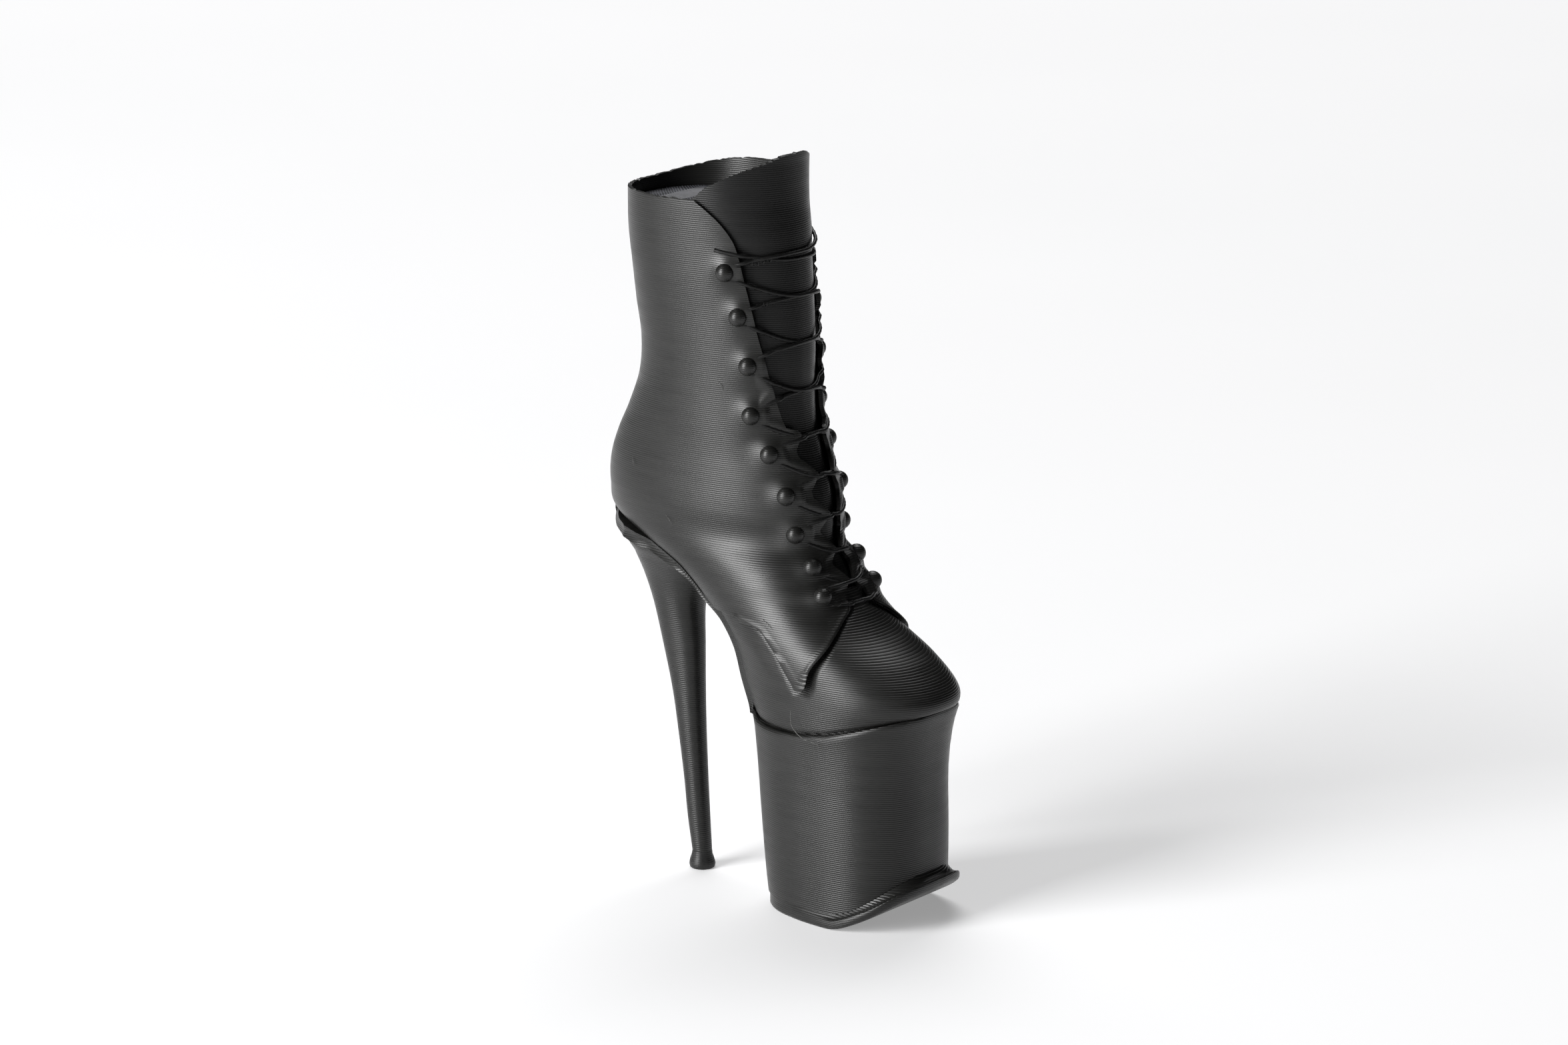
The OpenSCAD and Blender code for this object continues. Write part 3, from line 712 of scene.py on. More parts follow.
@dataclass
class SoleStack:
    """Outsole, platform block and the bent board under the foot.

    Attributes:
        outsole_t: Thickness of the outsole.
        count: Points in a ring.
        groove: Depth of the hollow along the board's edge.
        lip: How far the outsole stands out past the block at the toe.
    """

    outsole_t: float = 1.6
    count: int = 144
    groove: float = 0.28
    lip: float = 1.1

    def build_outsole(self) -> bpy.types.Object:
        """Thin slab under the block that turns up at the toe, where it stands out as a lip."""
        block = LevelForm(BLOCK)

        def ring(out: float, up: float) -> list[Vector]:
            """Ring of the slab's edge, ragged where it leaves the bed."""
            row = []
            for i in range(self.count):
                a = 360 * i / self.count
                y0 = block.point(a, 0).y
                toe = min(max((-y0 - 7) / 11, 0.0), 1.0)
                p = block.point(a, 0, self.lip * toe + out * (1.0 if up < 0.5 else toe))
                rough = 0.10 * ease(-p.y, 12, 17) * jitter(p.x * 1.3, p.y * 1.3, 2) * (0.02 < up < 0.8)
                row.append(Vector((p.x, p.y, toe_rise(p.y) + up + rough)))
            return row

        rings = [ring(*step) for step in ((-1.2, 0.0), (-0.4, 0.02), (-0.12, 0.1), (0.0, 0.32), (0.02, 0.7))]
        rings += [ring(*step) for step in ((-0.03, 0.92), (-0.14, 1.05))]
        for share in (0.2, 0.4, 0.6, 0.8, 1.0):
            row = []
            for i in range(self.count):
                a = rings[6][i]
                b = block.point(360 * i / self.count, 0)
                b.z = toe_rise(b.y) + self.outsole_t - 0.02 + toe_fillet(b.y)
                p = a.lerp(b, share)
                p.z -= 0.25 * math.sin(math.pi * share) * ease(-b.y, 10, 16)
                row.append(p)
            rings.append(row)
        return loft("outsole_slab", rings)

    def build_platform(self) -> bpy.types.Object:
        """Tall block whose foot follows the toe spring and whose top follows the seam."""
        block = LevelForm(BLOCK)
        rows = [0, 0.01, 0.03, 0.08, 0.16, 0.26, 0.38, 0.5, 0.62, 0.74, 0.84, 0.91, 0.955, 0.98, 0.993, 1.0]
        rings = []
        for v in rows:
            row = []
            for i in range(self.count):
                a = 360 * i / self.count
                y0 = block.point(a, self.outsole_t + v * 20).y
                low = toe_rise(y0) + toe_fillet(y0) + self.outsole_t
                high = sole_z(y0) - 0.16
                z = low + v * (high - low)
                out = -0.16 * max(0.0, (v - 0.985) / 0.015) ** 2
                # the last layers before the seam swell a little
                out += 0.10 * ease(v, 0.93, 0.98) * (1 - ease(v, 0.985, 1.0))
                row.append(block.point(a, z, out))
            rings.append(row)
        return loft("platform_block", rings)

    def board_sections(self) -> Grid:
        """Closed sections of the board from heel to toe, with a hollow along each side."""
        rows: Grid = []
        keys = tuple((float(i), *row) for i, row in enumerate(SOLE))
        steps = (len(SOLE) - 1) * 4
        for k in range(steps + 1):
            t = k / 4
            y, z, half, thick = (smooth(keys, t, c) for c in (1, 2, 3, 4))
            y2, z2 = smooth(keys, t + 0.05, 1), smooth(keys, t + 0.05, 2)
            y1, z1 = smooth(keys, t - 0.05, 1), smooth(keys, t - 0.05, 2)
            dy, dz = y2 - y1, z2 - z1
            size = math.hypot(dy, dz)
            ny, nz = -dz / size, dy / size
            if t <= ARCH_LAST:
                cup = linear(HEEL_CUP, t)
                half = max(cup, FORM.point(FORM.angle_of(z, y), z).x)
                half += 0.12 * ease(t, 0, 2) * (1 - ease(t, 8, 11))
            hollow = self.groove * ease(t, 1.5, 4) * (1 - 0.8 * ease(t, 7, 11))
            arch = ease(t, 9, 11) * (1 - ease(t, 16.5, 17.5))
            half -= 0.40 * arch
            right = []
            for share, d in EDGE_HOLLOW:
                inset = hollow * share
                reach = thick * d - 0.35 * arch * (1 - d)
                right.append(Vector((half - inset - 0.10 * arch * d, y + ny * reach, z + nz * reach)))
            left = [Vector((-p.x, p.y, p.z)) for p in reversed(right)]
            rows.append(right + left)
        return rows

    def build_board(self) -> bpy.types.Object:
        """The bent board as one closed strip."""
        rows = self.board_sections()
        n, m = len(rows[0]), len(rows)
        faces: list[tuple[int, ...]] = [
            (r * n + i, r * n + (i + 1) % n, (r + 1) * n + (i + 1) % n, (r + 1) * n + i)
            for r in range(m - 1)
            for i in range(n)
        ]
        faces += [tuple(range(n)), tuple((m - 1) * n + i for i in range(n))]
        obj = object_from("sole_strip", [p for row in rows for p in row], faces)
        tidy_mesh(obj.data, 0.001)
        return obj

    def dress(self, plain: bpy.types.Material) -> None:
        """Builds and dresses the three pieces."""
        put(self.build_outsole(), plain, ["outsole"], 50)
        put(self.build_platform(), plain, ["platform"], 35)
        put(self.build_board(), plain, ["sole_board"], 50)


@dataclass
class Heel:
    """Tapering heel and its small flared foot.

    Attributes:
        y: Place of the heel's axis.
        tip_h: Height of the foot.
        tip_r: Widest radius of the foot.
        count: Points in a ring.
    """

    y: float = 11.1
    tip_h: float = 2.0
    tip_r: float = 1.42
    count: int = 96

    def seat(self, y: float) -> float:
        """Underside of the board above the heel."""
        pairs = []
        for i in range(11):
            a, b = SOLE[max(i - 1, 0)], SOLE[i + 1]
            dy, dz = b[0] - a[0], b[1] - a[1]
            size = math.hypot(dy, dz)
            pairs.append((SOLE[i][0] - dz / size * SOLE[i][3], SOLE[i][1] + dy / size * SOLE[i][3]))
        return linear(sorted(pairs), y)

    def build_stem(self) -> bpy.types.Object:
        """Stem that thins downward and spreads under the heel seat."""
        spike = LevelForm(SPIKE)
        rings = []
        heights = [2.0 + 0.9 * i for i in range(33)]
        for z in heights:
            rings.append([spike.point(360 * i / self.count, z) for i in range(self.count)])
        top = heights[-1]
        for v in (0.12, 0.25, 0.38, 0.5, 0.62, 0.74, 0.85, 0.94, 1.0):
            row = []
            for i in range(self.count):
                p = spike.point(360 * i / self.count, top + v * (37 - top), 0.35 * ease(v, 0.75, 0.94))
                row.append(Vector((p.x, p.y, top + v * (self.seat(p.y) + 0.05 - top))))
            rings.append(row)
        return loft("heel_spike", rings)

    def build_tip(self) -> bpy.types.Object:
        """Flared foot: a drum whose loops are scaled into the flare, its underside worn uneven."""
        deselect()
        bpy.ops.mesh.primitive_cylinder_add(
            vertices=48, radius=1.0 * MM, depth=self.tip_h * MM, location=(0, self.y * MM, self.tip_h / 2 * MM)
        )
        obj = bpy.context.object
        obj.name = "heel_foot"
        bpy.ops.object.transform_apply(location=True)
        bpy.ops.object.mode_set(mode="EDIT")
        for share in (0.06, 0.2, 0.38, 0.55, 0.75):
            bpy.ops.mesh.select_all(action="SELECT")
            bpy.ops.mesh.bisect(plane_co=(0, 0, self.tip_h * share * MM), plane_no=(0, 0, 1))
        bpy.ops.object.mode_set(mode="OBJECT")
        flare = ((0, 1.22), (0.06, 1.36), (0.2, self.tip_r), (0.38, 1.38), (0.55, 1.27), (0.75, 1.16), (1, 1.08))
        for v in obj.data.vertices:
            share = v.co.z / MM / self.tip_h
            size = linear(flare, share)
            angle = math.atan2(v.co.y - self.y * MM, v.co.x)
            wear = 1 + 0.05 * jitter(math.cos(angle) * 2, math.sin(angle) * 2, share * 3)
            v.co.x *= size * wear
            v.co.y = self.y * MM + (v.co.y - self.y * MM) * size * wear
        return obj

    def dress(self, plain: bpy.types.Material, base: bpy.types.Material) -> None:
        """Builds and dresses the two pieces."""
        put(self.build_stem(), plain, ["heel_stem"], 35)
        put(self.build_tip(), base, ["heel_tip"], 40)


@dataclass
class Core:
    """Solid form inside the boot; its flat top is the floor of the shaft.

    Attributes:
        floor: Height of that floor.
        count: Points in a ring.
    """

    floor: float = 74.7
    count: int = 96

    def build(self) -> bpy.types.Object:
        """Form that fills the shells up to the floor."""
        rings = []
        heights = [22.4, 24, 26, 28, 30, 32, 34, 36, 38, 40, 43, 46, 50, 54, 58, 62, 66, 70, 73, 74.4, self.floor]
        for z in heights:
            row = []
            for i in range(self.count):
                a = 360 * i / self.count
                turn = min(a, 360 - a)
                out = -1.5 if z < 37 else -1.02 + 0.57 * ease(turn, 74, 82)
                if z == self.floor:
                    out -= 0.1
                low = max(z, min(32.0, sole_z(FORM.point(a, z, out).y) + 0.6)) if z < 30 else z
                p = FORM.point(a, low, out)
                if z < 39.15:
                    limit = sole_y(low) - 0.05
                    over = (p.y - limit + 1.5) / 1.5
                    if over > 0:
                        p.y = limit - 1.5 + 1.5 * over / (1 + over)
                row.append(p)
            rings.append(row)
        return loft("inner_form", rings)

    def dress(self, inside: bpy.types.Material) -> None:
        """Builds and dresses the core."""
        put(self.build(), inside, ["core"], 40)


@dataclass
class Upper:
    """Vamp, tongue and the two quarters.

    Attributes:
        wall: Thickness of a shell's visible edge.
        gap: Gap between lapped shells.
        rim: Height of the rim.
        rise: Extra height of the rim on the outer side, toward the front.
        layer: Height of one printed layer.
        flap: How far the folds of a quarter reach in between two hooks, in degrees.
    """

    wall: float = 0.45
    gap: float = 0.06
    rim: float = 76.2
    rise: float = 1.8
    layer: float = 0.25
    flap: float = 10.0
    _rim: KDTree | None = None

    def stepped(self, z: float) -> float:
        """Height cut to whole layers, as the sloping edge of a print is."""
        return math.floor(z / self.layer) * self.layer

    def rim_distance(self, place: Vector) -> float:
        """Distance from the edge of a wing, which runs from the lacing round the tip to the arch."""
        if self._rim is None:
            steps = [25.65 + 0.03 * i for i in range(280)]
            edge = [FORM.point(smooth(LACE_EDGE, z), z) for z in steps]
            edge += [FORM.point(smooth(WING_EDGE, z), z) for z in steps[:213]]
            self._rim = KDTree(len(edge))
            for i, point in enumerate(edge):
                self._rim.insert(point, i)
            self._rim.balance()
        return self._rim.find(place)[2]

    def dip(self, angle: float, z: float) -> float:
        """Depth of the vamp's hollow beside the wings."""
        here = FORM.point(abs(angle), z)
        near = self.rim_distance(here)
        behind = ease(abs(angle), 88, 96) * ease(z, 25.5, 28) * (1 - ease(near, 0.8, 3.2))
        return 0.34 * (1 - ease(near, 0.15, 0.95)) + 0.22 * behind

    def build_vamp(self) -> bpy.types.Object:
        """Toe and side shell with a seam along the platform."""
        out = -self.wall - self.gap
        grid: Grid = []
        rows, columns = 64, 76
        for r in range(rows + 1):
            v = r / rows
            zn = 21 + v * 11
            back = 21.7 + v * 10.3
            end = FORM.angle_of(back, sole_y(back) - 0.02)
            row = []
            for j in range(-columns, columns + 1):
                a = end * j / columns
                y0 = FORM.point(a, zn, out).y
                low = sole_z(y0) + self.gap if y0 < 0.3 else 21.7
                top = 32 + 3.2 * max(0.0, 1 - (a / 60) ** 2)
                z = low + v * (top - low)
                tuck = -0.10 * (1 - ease(v, 0, 0.03))
                row.append(FORM.point(a, z, out + tuck - self.dip(a, z)))
            grid.append(row)
        obj = sheet("vamp_shell", grid)
        modify(obj, "SOLIDIFY", thickness=self.wall * MM, offset=-1.0, use_rim=True)
        return obj

    def edge(self, z: float) -> float:
        """Angle of a quarter's front edge, with its folds between the lower hooks."""
        reach = 0.0
        if 35 < z < 52:
            for (high, _), (low, _) in zip(HOOKS[3:8], HOOKS[4:9]):
                reach = max(reach, 1 - abs(z - (high + low) / 2) / 1.7)
        return smooth(LACE_EDGE, z) - self.flap * max(reach, 0.0) ** 0.8 if z > 35 else smooth(LACE_EDGE, z)

    def back(self, z: float) -> float:
        """Angle where a quarter ends: the wing's edge, the sole or the back seam."""
        if z < 32.1:
            return smooth(WING_EDGE, z)
        return FORM.angle_of(z, sole_y(z) - self.gap) if z < 39.15 else 180.0

    def relief(self, angle: float, z: float) -> float:
        """Swelling of a quarter round its hooks and along its folds.

        Args:
            angle: Angle from the front on the quarter's own side.
            z: Height.

        Returns:
            How far the skin stands out, in millimetres.
        """
        here = FORM.point(angle, z)
        swell = 0.0
        if z < 34.5:
            near = self.rim_distance(here)
            swell = 0.13 * ease(near, 0.0, 0.18) * (1 - ease(near, 0.22, 0.62))
        if angle > 90 or z < 30 or z > 72:
            return swell
        for k, (hz, ha) in enumerate(HOOKS):
            if abs(hz - z) > 4:
                continue
            centre = FORM.point(ha, hz)
            away = (here - centre).length
            low = k >= 3
            swell = max(swell, (0.62 if low else 0.55) * math.exp(-((away / (1.45 if low else 1.3)) ** 2)))
            # a soft tab runs from the hook toward the tongue
            ahead = (ha - angle) * 0.125
            tab = ease(ahead, -0.4, 0.2) * (1 - ease(ahead, 1.1, 1.9)) * (1 - ease(abs(z - hz), 0.62, 1.02))
            swell = max(swell, 0.42 * tab)
            # folds rise from a hook to the points where the lace crosses
            if k >= 2:
                for up in (-1, 1):
                    other = k + up
                    if not 2 <= other < len(HOOKS):
                        continue
                    mid = (hz + HOOKS[other][0]) / 2
                    tip = FORM.point(self.edge(mid), mid)
                    line = tip - centre
                    t = min(max((here - centre).dot(line) / line.length_squared, 0.0), 1.0)
                    off = (here - centre - line * t).length
                    swell = max(swell, (0.30 if k < 4 else 0.36) * math.exp(-((off / 0.55) ** 2)))
        return swell

    def build_quarter(self, side: Side) -> bpy.types.Object:
        """Side shell from the back seam to the lacing, with a wing over the vamp.

        Args:
            side: Which side of the boot.

        Returns:
            The closed shell.
        """
        angles = [i * 0.9 for i in range(0, 90)] + [81 + i * 2.25 for i in range(45)]
        heights = [25.7 + 0.12 * i for i in range(84)] + [35.78 + 0.24 * i for i in range(62)]
        heights += [heights[-1] + (self.rim - heights[-1]) * (i + 1) / 84 for i in range(84)]
        extra = self.rise if side is Side.OUTER else 0.0
        grid: Grid = []
        for z in heights:
            a0, a1 = self.edge(z), self.back(z)
            row = []
            for a in angles:
                held = min(max(a, a0), a1)
                out = self.relief(held, z)
                lift = extra * ease(180 - held, 0, 95) * ease(z, 72, self.rim)
                if z == heights[-1]:
                    crumbs = 0.07 * jitter(held * 0.9, 4, side.value)
                    lift += crumbs - 0.10 * ease(jitter(held * 0.5, 9, side.value), 0.3, 0.4)
                p = FORM.point(held, z + 0.0, out)
                row.append(Vector((p.x * side.value, p.y, p.z + lift)))
            grid.append(row)
        obj = sheet(f"quarter_{side.name.lower()}_shell", grid)
        tidy_mesh(obj.data, 0.01, outward=False)
        if side is Side.INNER:
            focus(obj)
            bpy.ops.object.mode_set(mode="EDIT")
            bpy.ops.mesh.select_all(action="SELECT")
            bpy.ops.mesh.flip_normals()
            bpy.ops.object.mode_set(mode="OBJECT")
        modify(obj, "SOLIDIFY", thickness=self.wall * MM, offset=-1.0, use_rim=True)
        return obj

    def build_tongue(self) -> bpy.types.Object:
        """Curved front shell whose top edge climbs to a blunt tip."""
        out = -self.wall - self.gap
        grid: Grid = []
        columns = 70
        for i in range(118):
            z = 35.7 + (74.4 - 35.7) * i / 117
            reach = min(smooth(LACE_EDGE, z) + 12, 74)
            row = []
            for j in range(-columns, columns + 1):
                a = reach * j / columns
                deep = 0.34 * ease(abs(a), 3, smooth(LACE_EDGE, z)) * (1 - ease(z, 69, 73))
                row.append(FORM.point(a, z, out - deep))
            grid.append(row)
        steps = 22
        for i in range(1, steps + 1):
            v = i / steps
            row = []
            for j in range(-columns, columns + 1):
                a = 74 * j / columns
                top = smooth(TONGUE_EDGE, abs(a))
                if i == steps:
                    top = 0.5 * top + 0.5 * self.stepped(top) + 0.05 * jitter(a * 1.7, 2)
                z = 74.4 + v * (top - 74.4)
                flare = 0.10 * ease(z, 79.8, 81)
                row.append(FORM.point(a, z, out + flare))
            grid.append(row)
        obj = sheet("tongue_shell", grid)
        tidy_mesh(obj.data, 0.005, outward=False)
        modify(obj, "SOLIDIFY", thickness=self.wall * MM, offset=-1.0, use_rim=True)
        return obj

    def dress(self, skin: bpy.types.Material, tongue_painted_shade: bpy.types.Material, toe: bpy.types.Material) -> None:
        """Builds and dresses the shells."""
        put(self.build_vamp(), toe, ["vamp"], 40)
        put(self.build_tongue(), tongue_painted_shade, ["tongue"], 40)
        for side in Side:
            put(self.build_quarter(side), skin, [f"quarter_{side.name.lower()}"], 40)


@dataclass
class Lacing:
    """Nine pairs of domed hooks and the one lace that crosses between them.

    Attributes:
        dome_r: Radius of a dome.
        neck_h: Height of the neck.
        neck_r: Radius of the neck.
        lace_r: Radius of the lace.
        bend: How level a strand runs across the tongue; 1 is straight from hook to hook.
    """

    dome_r: float = 1.0
    neck_h: float = 0.62
    neck_r: float = 0.42
    lace_r: float = 0.2
    bend: float = 1.9

    def frame_of(self, k: int, side: int) -> tuple[Vector, Vector, Vector, Vector]:
        """Centre, outward normal, direction to the tongue and direction up at a hook."""
        z, a = HOOKS[k]
        centre, normal = FORM.point(a, z), FORM.normal(a, z)
        inward = -Vector((0, 0, 1)).cross(normal).normalized()
        up = normal.cross(inward)
        if up.z < 0:
            up = -up
        flip = Vector((side, 1, 1))
        return tuple(Vector((v.x * flip.x, v.y, v.z)) for v in (centre, normal, inward, up))

    def build_hook(self, k: int, side: Side) -> bpy.types.Object:
        """Domed hook: a ball cut flat below, with a neck drawn down from the cut.

        Args:
            k: Number of the hook from the top.
            side: Side of the boot.

        Returns:
            The hook.
        """
        deselect()
        bpy.ops.mesh.primitive_uv_sphere_add(segments=32, ring_count=18, radius=self.dome_r * MM, location=(0, 0, 0))
        obj = bpy.context.object
        obj.name = f"hook_{side.name.lower()}_dome_{k + 1}"
        bpy.ops.object.mode_set(mode="EDIT")
        bpy.ops.mesh.select_all(action="SELECT")
        bpy.ops.mesh.bisect(plane_co=(0, 0, 0.03 * MM), plane_no=(0, 0, 1), use_fill=True, clear_inner=True)
        bpy.ops.mesh.extrude_region_move(TRANSFORM_OT_translate={"value": (0, 0, -0.12 * MM)})
        bpy.ops.transform.resize(value=(0.9, 0.9, 1), center_override=(0, 0, 0))
        bpy.ops.mesh.extrude_region_move(TRANSFORM_OT_translate={"value": (0, 0, 0)})
        bpy.ops.transform.resize(value=(0.62, 0.62, 1), center_override=(0, 0, 0))
        bpy.ops.mesh.extrude_region_move(TRANSFORM_OT_translate={"value": (0, 0, -(self.neck_h + 0.1) * MM)})
        bpy.ops.object.mode_set(mode="OBJECT")
        centre, normal, _, up = self.frame_of(k, side.value)
        seat = centre + normal * (self.neck_h - 0.42)
        turn = Matrix((up.cross(normal), up, normal)).transposed().to_4x4()
        obj.data.transform(Matrix.Translation(seat * MM) @ turn)
        tidy_mesh(obj.data, 0.001)
        return obj

    def sink(self, z: float) -> float:
        """How high a strand lies over the skin, in radii; the lower ones melt into it."""
        return 0.0 + 0.25 * ease(z, 44, 54)

    def skin(self, angle: float, z: float, out: float) -> tuple[Vector, Vector]:
        """Point over the form and the normal there."""
        return FORM.point(angle, z, out), FORM.normal(angle, z)

    def strand(
        self, a0: float, z0: float, a1: float, z1: float, hump: float, edge: Callable[[float], float]
    ) -> list[tuple[Vector, Vector]]:
        """Free strand between two hooks.

        Args:
            a0: Angle at the start.
            z0: Height at the start.
            a1: Angle at the end.
            z1: Height at the end.
            hump: Rise over the strand that it crosses.
            edge: Rule for the front edge of the quarter.

        Returns:
            Path of the strand.
        """
        path = []
        count = 40
        for j in range(1, count):
            t = j / count
            w = abs(2 * t - 1)
            share = 0.5 + 0.5 * math.copysign(w**self.bend, t - 0.5)
            a, z = a0 + (a1 - a0) * t, z0 + (z1 - z0) * share - 0.35 * math.sin(math.pi * t)
            drop = ease(edge(z) - 2 - abs(a), 0, 7) * 0.5
            path.append(self.skin(a, z, self.lace_r * self.sink(z) + hump * (1 - ease(w, 0.5, 0.9)) - drop))
        return path

    def round_hook(self, k: int, side: int, start: float, end: float) -> list[tuple[Vector, Vector]]:
        """Turn of the lace round a hook's neck."""
        centre, normal, inward, up = self.frame_of(k, side)
        wrap = self.neck_r + self.lace_r + 0.05
        path = []
        for j in range(13):
            t = math.radians(start + (end - start) * j / 12)
            turn = inward * math.cos(t) + up * math.sin(t)
            path.append((centre + turn * wrap + normal * (self.lace_r + 0.1), normal))
        return path

    def route(self, edge: Callable[[float], float]) -> list[tuple[Vector, Vector]]:
        """The whole lace: down from hook to hook, over the bottom and back up."""
        wrap = self.neck_r + self.lace_r + 0.05
        over = 1.2 * self.lace_r
        path = self.strand(-66, 71.2, 55, 69.4, 0, edge)
        for going, hump in ((-1, 0.0), (1, over)):
            order = range(9) if going < 0 else range(8, -1, -1)
            stops = [(k, (1 if k % 2 == 0 else -1) * -going) for k in order]
            for i, (k, side) in enumerate(stops):
                path += self.round_hook(k, side, -80 * going, -280 * going)
                if i < 8:
                    nxt = stops[i + 1][0]
                    path += self.strand(
                        side * (HOOKS[k][1] - 3),
                        HOOKS[k][0] + going * wrap,
                        -side * (HOOKS[nxt][1] - 3),
                        HOOKS[nxt][0] - going * wrap,
                        hump,
                        edge,
                    )
            if going < 0:
                path += self.strand(HOOKS[8][1] - 3, HOOKS[8][0] - wrap, 3 - HOOKS[8][1], HOOKS[8][0] - wrap, 0, edge)
        path += self.strand(3 - HOOKS[0][1], HOOKS[0][0] + wrap, 50, 72.6, over, edge)
        return path

    def build_lace(self, edge: Callable[[float], float]) -> bpy.types.Object:
        """The lace, with the saw edge that a thin bridging strand gets in printing."""
        path = self.route(edge)

        def radius(i: int) -> float:
            """Radius with a saw edge of about a layer's pitch."""
            return self.lace_r * (1.0 + 0.16 * (i % 2) + 0.10 * jitter(i * 0.37))

        return tube("lace_strand", path, radius, 8)

    def dress(self, dome: bpy.types.Material, strand: bpy.types.Material, edge: Callable[[float], float]) -> None:
        """Builds and dresses hooks and lace."""
        for side in Side:
            for k in range(9):
                put(self.build_hook(k, side), dome, [f"hook_{side.name.lower()}_{k + 1}"], 50)
        put(self.build_lace(edge), strand, ["lace"], 80)


@dataclass
class Stringing:
    """Hairs of plastic that the nozzle drew out: one long hair at the seam, loops under the top strands.

    Attributes:
        hair_r: Radius of a hair.
    """

    hair_r: float = 0.045

    def hair(self, name: str, points: list[Vector], radius: float) -> bpy.types.Object:
        """A hair through a few points, made round by a smooth curve."""
        keys = tuple((float(i), p.x, p.y, p.z) for i, p in enumerate(points))
        steps = (len(points) - 1) * 8
        path = []
        for i in range(steps + 1):
            t = i / 8
            path.append((Vector([smooth(keys, t, c) for c in (1, 2, 3)]), Vector((-0.8, -0.5, 0.2))))
        return tube(name, path, lambda i: radius * (1 - 0.6 * abs(2 * i / steps - 1)), 5)

    def build_hairs(self) -> bpy.types.Object:
        """The long hair at the seam and a few specks."""
        parts = [
            self.hair(
                "strings",
                [FORM.point(a, z, o) for a, z, o in LONG_HAIR],
                self.hair_r,
            )
        ]
        for n, (a, z) in enumerate(((-100, 41.5), (-84, 32.6), (-120, 47), (-70, 57))):
            points = [FORM.point(a, z, 0), FORM.point(a + 2, z - 0.4, 0.15), FORM.point(a + 2.5, z - 0.9, 0.12)]
            parts.append(self.hair(f"speck_{n}", points, 0.03))
        return join("strings", parts)

    def build_loops(self) -> bpy.types.Object:
        """Sagging loops under the top strands."""
        parts = []
        for n, (a, z) in enumerate(((-42, 70.0), (-38, 70.0), (-34, 70.2), (-29, 70.3), (-40, 65.5), (-35, 65.7))):
            drop = 0.35 + 0.2 * jitter(n * 2.3)
            points = [
                FORM.point(a - 1.2, z, -0.15),
                FORM.point(a - 0.9, z - drop, -0.25),
                FORM.point(a + 0.9, z - drop, -0.25),
                FORM.point(a + 1.2, z, -0.15),
            ]
            parts.append(self.hair(f"loop_{n}", points, 0.08))
        return join("sagging_loops", parts)

    def dress(self, pale: bpy.types.Material, strand: bpy.types.Material) -> None:
        """Builds and dresses the hairs and loops."""
        put(self.build_hairs(), pale, [], 80)
        put(self.build_loops(), strand, [], 80)


# --------------------------------------------------------------------------- surroundings


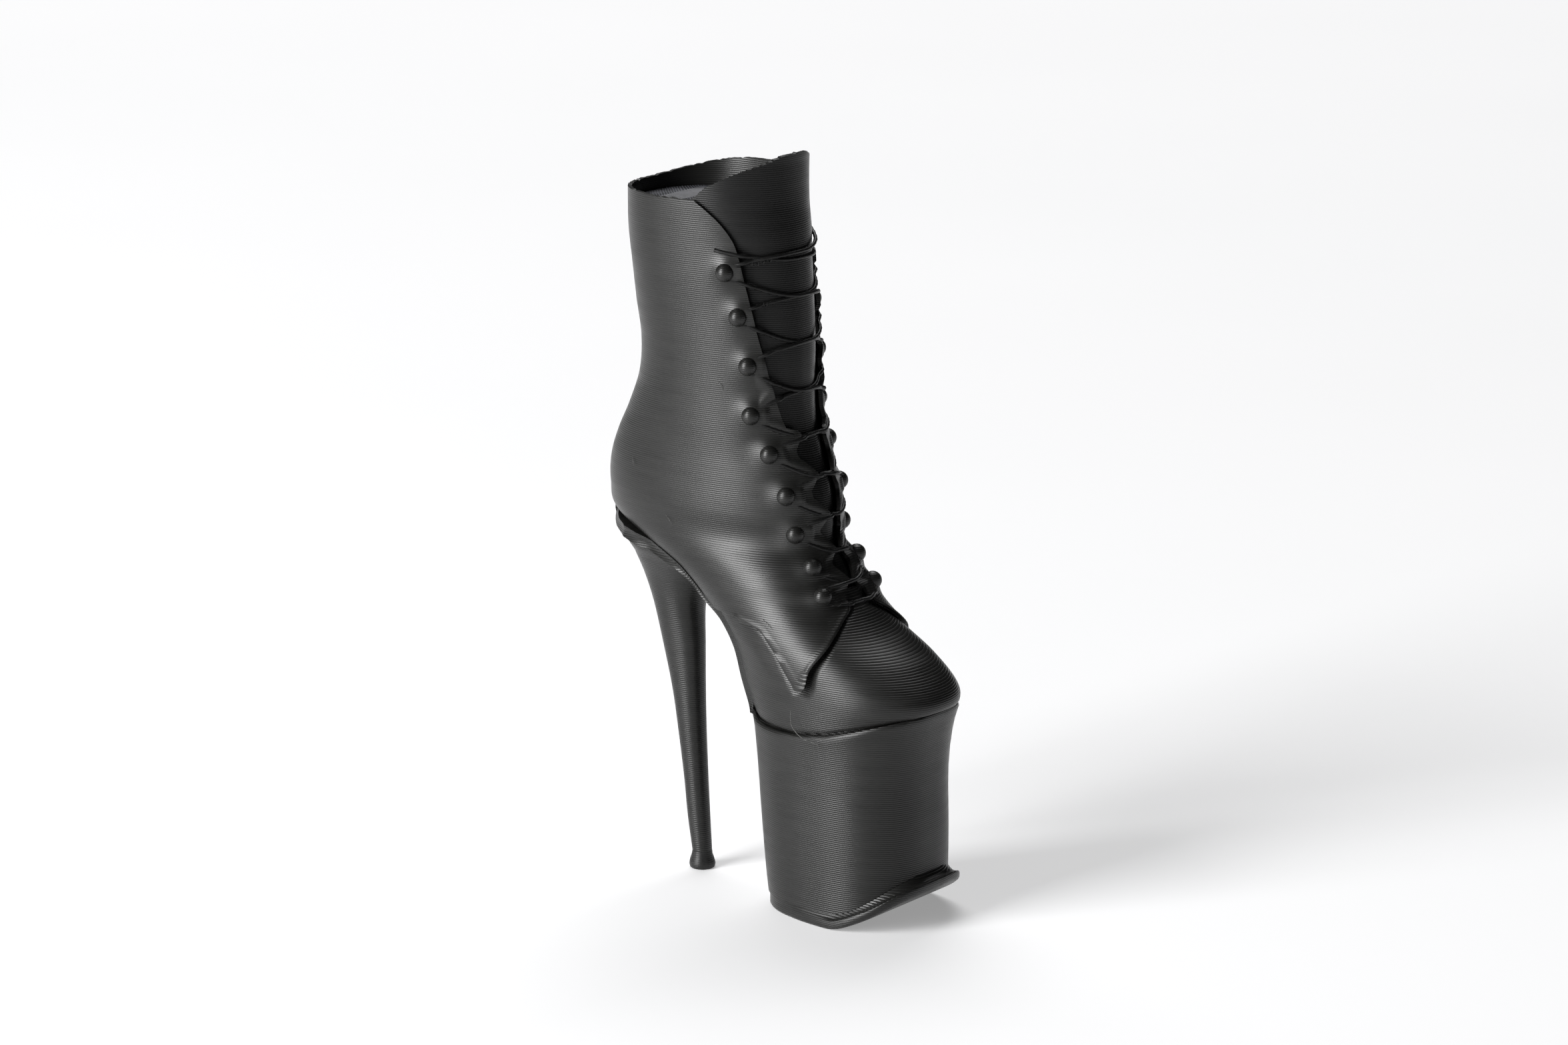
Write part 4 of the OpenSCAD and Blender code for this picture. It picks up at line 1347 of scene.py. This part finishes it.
@dataclass
class Studio:
    """Pale floor, soft light and the camera.

    Attributes:
        turn: Angle of the view round from the boot's side toward its toe, in degrees.
        tilt: Height of the camera above the horizon, in degrees.
        distance: Camera distance in millimetres.
        scale: How many parts of the image width one millimetre takes, times the width of 2352.
        bright_side: Direction of the light walls of the room.
    """

    turn: float = 38.0
    tilt: float = 14.5
    distance: float = 550.0
    scale: float = 13.65
    bright_side: tuple[float, float, float] = (-0.98, 0.02, 0.20)

    def build_floor(self) -> None:
        """Wide flat floor with a painted glow: it gives off a little light of its own, though it is no lamp."""
        deselect()
        bpy.ops.mesh.primitive_plane_add(size=6.0, location=(0, 0, 0))
        floor = bpy.context.object
        floor.name = "studio_floor"
        mat = bpy.data.materials.new("matte_white_paper_painted_glow")
        mat.use_nodes = True
        tree = mat.node_tree
        tree.nodes.clear()
        place = add(tree, "ShaderNodeTexCoord").outputs["Object"]
        cloud = add(tree, "ShaderNodeTexNoise", {"Vector": place}, {"Scale": 8.0, "Detail": 2.0})
        tone = add(
            tree,
            "ShaderNodeMix",
            {0: cloud.outputs["Fac"]},
            {6: linear_rgb("#cfcfd0"), 7: linear_rgb("#d3d3d4")},
            data_type="RGBA",
        )
        # painted light: the floor glows with emission 0.30 though it is no lamp, so that the shadows on it stay light
        painted_glow = {"Roughness": 0.9, "Emission Color": (1.0, 1.0, 1.0, 1.0), "Emission Strength": 0.30}
        shader = add(tree, "ShaderNodeBsdfPrincipled", {"Base Color": tone.outputs[2]}, painted_glow)
        add(tree, "ShaderNodeOutputMaterial", {"Surface": shader.outputs[0]})
        floor.data.materials.append(mat)

    def lamp(self, name: str, place: Vector, aim: Vector, size: tuple[float, float], power: float) -> None:
        """Soft rectangular lamp.

        Args:
            name: Lamp name.
            place: Its place in metres.
            aim: The point that it faces.
            size: Width and height in metres.
            power: Watts.
        """
        data = bpy.data.lights.new(name, "AREA")
        data.shape, data.size, data.size_y, data.energy = "RECTANGLE", size[0], size[1], power
        obj = bpy.data.objects.new(name, data)
        obj.location = place
        obj.rotation_mode = "QUATERNION"
        obj.rotation_quaternion = (aim - place).to_track_quat("-Z", "Y")
        bpy.context.scene.collection.objects.link(obj)

    def build_light(self) -> None:
        """Room with light walls on one side, a window on the boot's side and a lamp over the floor."""
        world = bpy.data.worlds.new("white_room")
        world.use_nodes = True
        tree = world.node_tree
        tree.nodes.clear()
        look = add(tree, "ShaderNodeTexCoord").outputs["Generated"]
        side = add(tree, "ShaderNodeVectorMath", {0: look}, {1: self.bright_side}, operation="DOT_PRODUCT")
        level = add(
            tree, "ShaderNodeMapRange", {"Value": side.outputs["Value"]}, {1: 0.35, 2: 1.0, 3: 0.01, 4: 0.22}
        )
        room = add(
            tree, "ShaderNodeBackground", {"Strength": level.outputs[0]}, {"Color": (0.98, 0.99, 1.0, 1.0)}
        )
        add(tree, "ShaderNodeOutputWorld", {"Surface": room.outputs[0]})
        bpy.context.scene.world = world
        self.lamp("window", Vector((-0.84, 0.29, 0.36)), Vector((0, 0, 0.05)), (0.46, 0.72), 17.0)
        self.lamp("ceiling", Vector((0.9, 0.8, 1.6)), Vector((0.9, 0.8, 0)), (1.4, 1.4), 29.0)

    def build_camera(self) -> None:
        """Camera set by where the foot of the heel falls in the picture."""
        th, ti = math.radians(self.turn), math.radians(self.tilt)
        right = Vector((math.sin(th), -math.cos(th), 0))
        toward = Vector((-math.cos(th), -math.sin(th), 0))
        back = toward * math.cos(ti) + Vector((0, 0, 1)) * math.sin(ti)
        up = -toward * math.sin(ti) + Vector((0, 0, 1)) * math.cos(ti)
        foot = Vector((0, 11.1, 0))
        place = foot + back * self.distance + right * 8.97 + up * 37.8
        data = bpy.data.cameras.new("camera")
        data.sensor_width = 36
        data.lens = 36 * self.scale * self.distance / 2352
        data.clip_start, data.clip_end = 0.01, 20
        cam = bpy.data.objects.new("camera", data)
        cam.location = place * MM
        cam.rotation_mode = "QUATERNION"
        cam.rotation_quaternion = (-back).to_track_quat("-Z", "Y")
        bpy.context.scene.collection.objects.link(cam)
        bpy.context.scene.camera = cam

    def build(self) -> None:
        """Builds floor, light and camera."""
        self.build_floor()
        self.build_light()
        self.build_camera()
        bpy.context.scene.view_settings.view_transform = "Standard"


def main() -> None:
    """Builds the boot piece by piece."""
    logging.basicConfig(level=logging.INFO, format="%(name)s %(message)s")
    skin = LayeredPlastic("black_pla_side").material()
    # Painted shade: a darker, less glossy copy of the black plastic for the tongue, which faces away from the light.
    tongue_painted_shade = LayeredPlastic("black_pla_tongue_painted_shade", bead="#101010", groove="#090909", gloss=0.26).material()
    toe = LayeredPlastic("black_pla_toe", bead="#191918", groove="#0b0b0b", depth=0.03).material()
    block = LayeredPlastic("black_pla_block", depth=0.03).material()
    base = LayeredPlastic("black_pla_first_layers", bead="#171717", rough=0.42).material()
    # Painted shade: a darker, less glossy copy of the black plastic for the lace and the sagging loops, which lie in
    # shade.
    strand = LayeredPlastic("black_pla_bridged_strand", bead="#121212", gloss=0.28).material()
    pale = LayeredPlastic("drawn_out_pla_hair", bead="#4a4a48", groove="#2a2a28").material()
    inside = FloorBeads("black_pla_top_skin").material()

    Studio().build()
    SoleStack().dress(block)
    Heel().dress(block, base)
    Core().dress(inside)
    upper = Upper()
    upper.dress(skin, tongue_painted_shade, toe)
    Lacing().dress(skin, strand, upper.edge)
    Stringing().dress(pale, strand)


if __name__ == "__main__":
    main()
